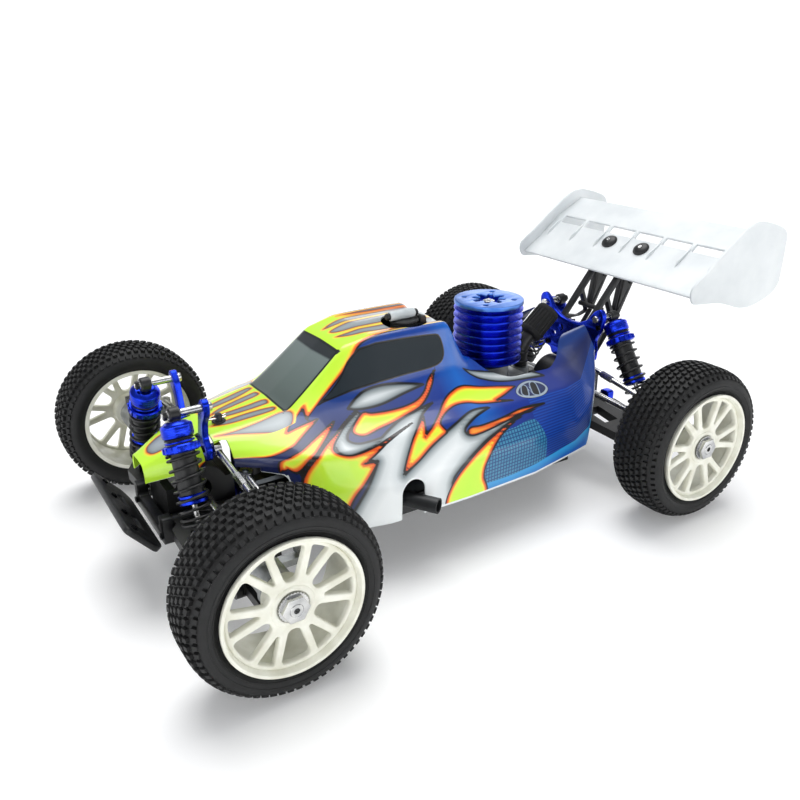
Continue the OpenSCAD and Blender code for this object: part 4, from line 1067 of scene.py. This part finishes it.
# %% [markdown]
# ## Towers
# The towers are cut from 4 mm aluminium plate and anodised. A cut plate shows as a flat face with a thin
# bright chamfer, so the outline gets a real bevel, and small round holes save weight and take bolts.

# %% Shock towers
def mirrored(half):
    """Full outline from its right half, read from the bottom centre round to the top centre."""
    return half + [(-x, y) for x, y in reversed(half) if x > 1e-6]


TOWER_X, TOWER_T = -4.5, 4.0
front_half = [(17, 78.5), (22, 84), (30, 85), (31, 93), (25, 99), (27, 110), (33, 117), (33, 125),
              (28, 127), (22, 121), (18, 106), (14, 93), (0, 92)]
rear_half = [(19, 78.5), (21, 84), (30, 85), (31, 94), (29, 102), (35, 113), (37, 125), (33, 130),
             (27, 127), (20, 118), (10, 113), (0, 112)]
TOP = {"f": (28.5, 121.0), "r": (30.0, 121.0)}
SHOCK_X = {"f": 14.5, "r": -19.5}
DRILLS = {"f": [(10, 84, 2.2), (22.5, 91, 1.7)],
          "r": [(10, 104, 3.2), (18, 97, 2.4), (8, 92, 3.0), (24, 88, 1.7), (33, 115, 1.4),
                (27, 120.5, 1.4)]}
ball_half = [(1.2, 2.75), (2.1, 2.1), (2.75, 1.2)]
BALL = [(0, -3)] + [(r, -h) for r, h in ball_half] + [(3, 0)] + ball_half[::-1] + [(0, 3)]
for end, half, node_name in (("f", front_half, "front_shock_tower"), ("r", rear_half, "rear_shock_tower")):
    axle_at = axle[end + "l"].x
    spot = facing((axle_at + TOWER_X * MM, 0, 0), (1, 0, 0), (0, 1, 0))
    holes = [circle(r, 16, (s * x, y))[::-1] for s in (-1, 1) for x, y, r in DRILLS[end]]
    tower = Piece()
    tower.cut(rounded(mirrored(half), 3.0, 5), spot, TOWER_T, 0.55, holes)
    reach = SHOCK_X[end] - TOWER_X
    far = abs(reach)
    for s in (-1, 1):
        bolt = facing((axle_at + TOWER_X * MM, s * TOP[end][0] * MM, TOP[end][1] * MM), (reach / far, 0, 0),
                      (0, 1, 0))
        tower.turned([(0, -4.4), (2.6, -4.4), (2.9, -3.9), (2.9, -2), (2.4, -2), (2.4, far - 5),
                      (2.2, far - 4.3), (0, far - 4.3)], bolt, 1, 28)
        tower.turned([(0, far - 4.5), (1.45, far - 4.4), (1.45, far + 3.9), (0, far + 3.9)], bolt, 1, 20)
        tower.cut(circle(2.9, 6), bolt @ shift(z=far + 5.2), 2.4, 0.4, slot=2)
        tower.turned([(0, far + 6.2), (1.4, far + 6.3), (1.4, far + 6.8), (0, far + 7.0)], bolt, 1, 16)
        ball = Vector(joints["upper_link_swing_" + end + ("l" if s > 0 else "r")]["pos_m"])
        tower.turned(BALL, facing(ball, (1, 0, 0)), 1, 24)
        tower.wire([ball / MM, (axle_at / MM + TOWER_X, ball.y / MM, ball.z / MM)], 1.0, slot=1)
    settle(tower.made(node_name + "_plate", anodised, steel, nylon), "chassis", "anodised_blue", node_name)
print("tower plates:", 2)

# %% [markdown]
# ## Wing
# The wing is moulded in one piece: two curved planes joined by a riser with six long slots, small
# ribs between the slots, and an end plate at each tip. A strip of faces follows the curved section, the
# slots are left out of it, and Solidify gives it its wall.

# %% Wing
spine = [(-195.6, 148.4), (-197.0, 149.7), (-200, 151.7), (-206, 155.4), (-214, 160.9), (-222, 166.6),
         (-228, 171.1), (-231.5, 174.0), (-234, 176.2), (-237.5, 178.4), (-246, 182.6), (-256, 187.5),
         (-261.6, 190.4)]
WING_HALF, SLOTS, SKIN = 95.2, 6, 2.2
pitch = 2 * (WING_HALF - 7) / SLOTS
cuts = sorted({-WING_HALF, WING_HALF} | {round(-WING_HALF + 9 + k * pitch, 3) for k in range(SLOTS)}
              | {round(-WING_HALF + 5 + (k + 1) * pitch, 3) for k in range(SLOTS)})
ys = sorted({round(float(y), 3) for a, b in zip(cuts, cuts[1:])
             for y in np.linspace(a, b, max(2, int((b - a) / 4) + 1))})
curve_points = [p for (x0, z0), (x1, z1) in zip(spine, spine[1:])
                for p in ((x0, z0), ((x0 + x1) / 2, (z0 + z1) / 2))] + [spine[-1]]


def in_slot(x, y):
    """True where the riser is open."""
    k = math.floor((y + WING_HALF - 7) / pitch)
    start = -WING_HALF + 9 + k * pitch
    return -236.2 < x < -229.6 and 0 <= k < SLOTS and start < y < start + pitch - 4


plane = Piece()
faces = []
for i in range(len(curve_points) - 1):
    for j in range(len(ys) - 1):
        mid = ((curve_points[i][0] + curve_points[i + 1][0]) / 2, (ys[j] + ys[j + 1]) / 2)
        if not in_slot(*mid):
            a = i * len(ys) + j
            faces.append((a, a + 1, a + 1 + len(ys), a + len(ys)))
plane.put([(x, y, z) for x, z in curve_points for y in ys], faces, X)
blade = plane.made("wing_plane", wing_nylon, crease=40)
thick = blade.modifiers.new("wall", "SOLIDIFY")
thick.thickness, thick.offset = SKIN * MM, 0
soft = blade.modifiers.new("edges", "BEVEL")
soft.width, soft.segments, soft.limit_method, soft.angle_limit = 0.5 * MM, 2, "ANGLE", math.radians(50)
blade.data = evaluated(blade)
blade.modifiers.clear()
plates = Piece()
plate_line = [(-189.5, 150.5), (-190, 157), (-197, 162.5), (-205, 167), (-219, 178), (-232, 187),
              (-243, 194.5), (-253, 198.4), (-262, 199), (-277, 195.5), (-291, 190.5), (-295.4, 185),
              (-295.6, 166), (-295, 147), (-289, 140), (-277, 135.5), (-263, 132.4), (-253, 132.6),
              (-245, 134.4), (-235, 138), (-225, 141), (-214, 142.6), (-205, 143.4), (-193, 144.6)]
for s in (-1, 1):
    upright_plate = facing((mid_x, s * 95.9 * MM, 0), (0, -1, 0), (1, 0, 0))
    plates.cut(rounded(plate_line, 6, 3), upright_plate, 2.0, 0.6)
for k in range(SLOTS + 1):
    y = min(max(-WING_HALF + 7 + k * pitch, -WING_HALF + 1.5), WING_HALF - 1.5)
    rib = facing((mid_x, y * MM, 0), (0, -1, 0), (1, 0, 0))
    plates.cut(rounded([(-213, 160.4), (-217, 167.5), (-230.5, 175.5), (-231.4, 173.2)], 1.2, 3), rib, 1.4,
               0.3)
settle(plates.made("wing_end_plates", wing_nylon), "chassis", "wing_nylon")
settle(blade, "chassis", "wing_nylon", "wing")
buttons = Piece()
for s in (-1, 1):
    lie = facing((mid_x - 0.2222, s * 0.0175, 0.1668), (0.58, 0, 0.81), (0, 1, 0))
    buttons.turned([(0, -3), (4.5, -3), (4.5, 0.8), (6.6, 1.0), (6.8, 1.8), (6.2, 2.8), (4.4, 3.7),
                    (2.2, 4.2), (0, 4.3)], lie, 0, 36)
    buttons.turned([(0, 4.2), (1.6, 4.2), (1.6, 4.6), (0.9, 4.6), (0.8, 4.3), (0, 4.3)], lie, 1, 20)
settle(buttons.made("wing_buttons", nylon, steel), "chassis", "moulded_nylon")
print("wing slots:", SLOTS)

# %% Wing mount
truss = Piece()
for s in (-1, 1):
    stand = facing((mid_x, s * 14.5 * MM, 0), (0, -1, 0), (1, 0, 0))
    outline = [(-169.5, 84), (-169.5, 112), (-185, 131), (-201, 150.2), (-213, 157.8), (-227.4, 167.6),
               (-226, 158), (-214, 134), (-203, 112), (-182, 84)]
    windows = [[(-172.4, 92), (-172.4, 108), (-183.5, 107)], [(-174, 89), (-188, 104.5), (-180, 89)],
               [(-175, 113), (-189, 129.5), (-196.5, 112.5), (-188, 110)],
               [(-191.5, 132), (-203.5, 146.5), (-198.5, 116)], [(-201.8, 118), (-208, 146), (-212, 136)],
               [(-206.5, 149.5), (-213, 139.5), (-220.5, 157), (-214, 154.5)]]
    truss.cut(rounded(outline, 2.5, 4), stand, 5.0, 0.7, [rounded(w, 1.6, 3) for w in windows])
truss.block((-182, -12, 84), (-172, 12, 89), X, 0.8)
for x, z in ((-206, 147), (-188, 121)):
    truss.wire([(x, -13, z), (x, 13, z)], 2.0, X, count=16)
settle(truss.made("wing_truss", nylon), "chassis", "moulded_nylon", "wing_mount")
print("trusses: 2")

# %% [markdown]
# ## Engine top
# The cooling head is turned from one bar of aluminium: deep thin fins shed the heat. Its top has a
# milled star where a spanner fits, four screws and the glow plug's hole.

# %% Cooling head and filter
head = middle("cooling_head")
low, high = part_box("cooling_head")
first, top = low.z / MM, high.z / MM
stem = Matrix.Translation((head.x, head.y, 0))
engine = Piece()
FINS, HEAD_R, SCREW_RING, QUARTERS = 9, 25.9, 18.6, np.radians([45, 135, 225, 315])
gap = (top - first) / FINS
line = [(0, first + 0.6), (15.5, first + 0.6)]
for k in range(FINS - 1):
    base = first + (k + 1) * gap - 2.2
    line += [(16, base), (25.5, base + 0.3), (HEAD_R, base + 0.55), (HEAD_R, base + 1.45),
             (25.5, base + 1.7), (16, base + 2.0)]
line += [(16, top - 3.0), (0, top - 3.0)]
engine.turned(line, stem, 0, 96)
star = [polar(r, k * math.pi / 4 + d) for k in range(8)
        for d, r in ((-0.14, (13.6, 12.4)[k % 2]), (0.14, (13.6, 12.4)[k % 2]), (0.39, 6.8))]
bolts = [circle(1.9, 16, polar(SCREW_RING, a))[::-1] for a in QUARTERS]
engine.cut(circle(HEAD_R, 96), stem @ shift(z=top - 1.6), 3.2, 0.6, [rounded(star, 1.0, 3)[::-1], *bolts],
           slot=1)
engine.turned([(0, top - 3.2), (4.4, top - 3.2), (4.4, top - 1.6), (3.2, top - 1.2), (1.4, top - 1.2),
               (1.2, top - 0.4), (0, top - 0.4)], stem, 2, 24)
for a in QUARTERS:
    screw = stem @ shift(*polar(SCREW_RING, a))
    engine.turned([(0, top - 3), (1.7, top - 3), (1.7, top - 1.3), (0.9, top - 1.2), (0.8, top - 2),
                   (0, top - 2)], screw, 3, 16)
# The head's top plate takes the paler blue, a painted highlight.
settle(engine.made("cooling_fins", anodised, lit_top_anodised, steel, nylon, crease=28), "chassis", "anodised_blue",
       "cooling_head")
neck = (mid_x - 0.106, head.y)
FILTER_LEAN = math.radians(50)
filter_piece = Piece()
elbow = [(0, 0, 88.6), (0, 0, 96), (0, 0, 101), (-1.2, 0, 105.2), (-4.2, 0, 109), (-8, 0, 112.2)]
spot = Matrix.Translation((*neck, 0))
filter_piece.wire(elbow, [5.4, 5.4, 5.5, 5.7, 5.6, 5.2], spot, 0, 24)
for z in (91.5, 99.0):
    washer(filter_piece, spot, 5.2, 6.1, z, z + 1.6, 0, 0.5)
tilt = facing((*neck, 0.106), (-math.sin(FILTER_LEAN), 0, math.cos(FILTER_LEAN)), (0, 1, 0))
filter_piece.turned([(0, 9.2), (6, 9.2), (8.4, 9.8), (9.3, 11.2), (9.4, 13), (9.0, 13.6), (9.0, 31.4),
                     (9.4, 32), (9.4, 34), (8.6, 35.5), (6, 35.9), (0, 35.9)], tilt, 1, 40)
for k in range(20):
    a = k * math.pi / 10
    fold = tilt @ shift(*polar(9.0, a)) @ Matrix.Rotation(a, 4, "Z")
    filter_piece.block((-0.45, -0.6, 14), (0.45, 0.6, 31), fold, 0.3, 1)
settle(filter_piece.made("foam_filter", nylon, foam), "chassis", "filter_rubber", "air_filter")
print("cooling fins:", FINS)

# %% [markdown]
# ## Front end and roof
# The bumper is a slanted nylon skid with rounded edges and four screws. On the roof, the tank's lid
# is a pale grey drum with black end caps, which a finger flips up.

# %% Bumper, lid and body clip
LEAN = math.radians(50)
slant = facing((mid_x + 0.1975, 0, 0.036), (-math.sin(LEAN), 0, math.cos(LEAN)),
               (math.cos(LEAN), 0, math.sin(LEAN)))
bumper = Piece()
skid = [(0, -33), (6, -42), (31.5, -42), (32, -30), (32, 30), (31.5, 42), (6, 42), (0, 33)]
slots = [rounded([(12, y), (12, y + 16), (17, y + 16), (17, y)], 1.8, 4) for y in (-24, 8)]
SKID_SCREWS = (-34, -12, 12, 34)
slots += [circle(1.8, 14, (24, y)) for y in SKID_SCREWS]
bumper.cut(rounded(skid, 4, 5), slant @ shift(z=2.0), 4.0, 0.9, slots)
settle(bumper.made("bumper_skid", nylon), "chassis", "moulded_nylon", "front_bumper")
hinge = Vector(joints["fuel_lid_hinge"]["pos_m"])
seat = Matrix.Translation((mid_x + 0.005, 0.012, 0.144))
lid = Piece()
lid.turned([(0, 0.6), (9.6, 0.6), (10.4, 0.9), (10.4, 1.8), (9.8, 2.4), (0, 2.5)], seat, 1, 40)
drum = seat @ facing((0.002, 0, 0.0055), (1, 0, 0))
lid.turned([(0, -10), (2.9, -10), (3.3, -9.5), (3.4, -8.8), (3.4, 8.8), (3.3, 9.5), (2.9, 10), (0, 10)],
           drum, 0, 32)
lid.turned([(0, -13), (1.9, -12.8), (2.5, -12), (2.5, 12), (1.9, 12.8), (0, 13)], drum, 1, 28)
pivot = Matrix.Translation(hinge)
washer(lid, pivot @ facing((0, 0, 0), (0, 1, 0)), 1.05, 2.2, -2.5, 2.5, 1, 0.3, 24)
lid.block((0.6, -2.5, -0.2), (9, 2.5, 2.0), pivot, 0.4, 1)
settle(lid.made("tank_lid", lid_plastic, nylon), "fuel_lid", "lid_plastic", "fuel_lid")
clip = Piece()
post = X @ Matrix.Translation((0.1435, 0.0095, 0.101))
clip.turned([(0, -6), (2.4, -6), (2.4, 4.4), (1.9, 5.2), (0, 5.4)], post, 1, 20)
washer(clip, post, 2.4, 4.6, -0.2, 0.7, 1, 0.3, 24)
bent = [(-4.5, 0.9), (5.0, 0.9), (6.6, 0.5), (7.4, 0), (6.6, -0.9), (5.0, -1.2), (3.4, -2.2), (1.6, -3.4),
        (-0.6, -3.6), (-2.4, -2.6)]
clip.wire([(x, y, 2.6) for x, y in bent] + [(-3.6, -1.4, 2.7), (-5.4, -2.2, 2.9)], 0.55, post, 0, 8)
settle(clip.made("body_clip", steel, nylon), "chassis", "machined_steel")
print("tank lid hinge at", [round(v, 4) for v in hinge])

# %% [markdown]
# ## Exhaust outlet
# The pipe's last stretch is a black plastic bend and a plain stub, so that the spent gas leaves
# beside the car. It drops behind the shell, turns, and comes out through the arch.

# %% Outlet
outlet = Piece()
foot = Vector((53.5, 74, 50))
YAW, REACH, DROP = math.radians(32.5), 32.5, 14
out_way = Vector((-math.sin(YAW), math.cos(YAW), 0))
bend = [foot + Vector((0, -1.6 * (1 - math.cos(a)), DROP - DROP * 0.8 * a)) for a in np.linspace(0, 1, 6)]
bend += [foot + out_way * r + Vector((0, 0, h)) for r, h in ((0.4, 1.2), (2.4, 0.2), (5, 0), (8, 0))]
outlet.wire(bend, 5.1, X, 0, 24)
end = X @ facing(foot * MM, out_way)
outlet.turned([(4.0, 8.6), (5.0, 8.6), (5.15, 9), (5.15, 14.6), (4.85, 15), (4.85, 30), (5.15, 30.4),
               (5.15, 32.1), (4.9, 32.5), (4.2, 32.5), (4.02, 32.2), (4.0, 20)], end, 0, 36, closed=True)
outlet.turned([(0, 8.0), (4.9, 8.0), (4.9, 8.9), (0, 8.9)], end, 0, 36)
settle(outlet.made("exhaust_outlet", nylon), "chassis", "exhaust_metal")
print("outlet ends at", [round(v, 1) for v in foot + out_way * REACH], "mm from mid-wheelbase")

# %% [markdown]
# ## Hinge blocks and screws
# Four plates hold the arms' steel pins: the foremost is nylon, because it takes the knocks, and the rest
# are anodised. Socket screws are all the same, so one tree makes the head and stands it on every spot.

# %% Hinge blocks
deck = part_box("hinge_blocks")[0].z / MM
BLOCK_AT, PIN_REACH = 26.5, 24
line = [(-31, 0), (31, 0), (31, 18), (22, 18), (22, 10), (-22, 10), (-22, 18), (-31, 18)]
for end, name, replaced in (("f", "front", ["hinge_blocks"]), ("r", "rear", [])):
    blocks = Piece()
    at_x = axle[end + "l"].x
    for s in (-1, 1):
        stand = facing((at_x + s * BLOCK_AT * MM, 0, deck * MM), (1, 0, 0), (0, 1, 0))
        blocks.cut(rounded(line, 2.2, 4), stand, 7.0, 0.7, slot=1 if (end, s) == ("f", 1) else 0)
        pin_y, pin_z = s * 24, joints["arm_swing_" + end + "l"]["pos_m"][2] / MM
        blocks.wire([(at_x / MM + d, pin_y, pin_z) for d in (-PIN_REACH, PIN_REACH)], 1.45, slot=2,
                    count=16)
    settle(blocks.made(name + "_hinge_blocks", anodised, nylon, steel), "chassis", "anodised_blue",
           *replaced)
print("hinge blocks: 4")

# %% Socket screws
black_steel = finish_of("blackened_screw_steel", "#2a2b2d", "#17181a", 0.34, 0.3, 0.02, metallic=1.0)
screws, screw_ids, given = group("socket_screws", {
    "Head radius": (length, 0.0022), "Head height": (length, 0.0018), "Socket": (length, 0.0012)})
barrel = node(screws, "GeometryNodeMeshCylinder", {
    "Vertices": 24, "Radius": given["Head radius"], "Depth": given["Head height"]})
socket = node(screws, "GeometryNodeMeshCylinder", {
    "Vertices": 6, "Radius": given["Socket"], "Depth": given["Head height"]})
lift = node(screws, "ShaderNodeCombineXYZ", {"Z": 0.0007})
raised_socket = node(screws, "GeometryNodeTransform",
                     {"Geometry": socket.outputs["Mesh"], "Translation": lift.outputs[0]})
head_shape = node(screws, "GeometryNodeMeshBoolean", {
    "Mesh 1": barrel.outputs["Mesh"], "Mesh 2": raised_socket.outputs["Geometry"]}, operation="DIFFERENCE")
stored = node(screws, "GeometryNodeInputNamedAttribute", {"Name": "way"}, data_type="FLOAT_VECTOR")
aim = node(screws, "FunctionNodeAlignRotationToVector", {"Vector": stored.outputs["Attribute"]}, axis="Z")
stood = node(screws, "GeometryNodeInstanceOnPoints", {
    "Points": given["Geometry"], "Instance": head_shape.outputs["Mesh"], "Rotation": aim.outputs[0]})
finish_tree(screws, stood.outputs["Instances"], black_steel)
front_x, rear_x = axle["fl"].x / MM, axle["rl"].x / MM
normal = Vector((-math.sin(LEAN), 0, math.cos(LEAN)))
spots = [(slant @ (Vector((24, y, 4.4)) * MM) / MM, normal) for y in SKID_SCREWS]
spots += [(Vector((x + way * (BLOCK_AT + 3.9), y, deck + 5)), Vector((way, 0, 0)))
          for x, way in ((front_x, 1), (rear_x, -1)) for y in (-27, 27)]
spots += [(Vector((x + TOWER_X + 2.4, s * y, z)), Vector((1, 0, 0)))
          for x, drilled in ((front_x, [(22.5, 91)]), (rear_x, [(24, 88), (33, 115)])) for s in (-1, 1)
          for y, z in drilled]
start = bpy.data.meshes.new("screw_spots")
start.from_pydata([p * MM for p, _ in spots], [], [])
ways = [v for _, way in spots for v in way]
start.attributes.new("way", "FLOAT_VECTOR", "POINT").data.foreach_set("vector", ways)
heads = add("socket_screws", grown("screws", screws, screw_ids, {"Head radius": 0.0022}, start=start))
tidy(heads, 35)
settle(heads, "chassis", "machined_steel")
print("socket screws:", len(spots))
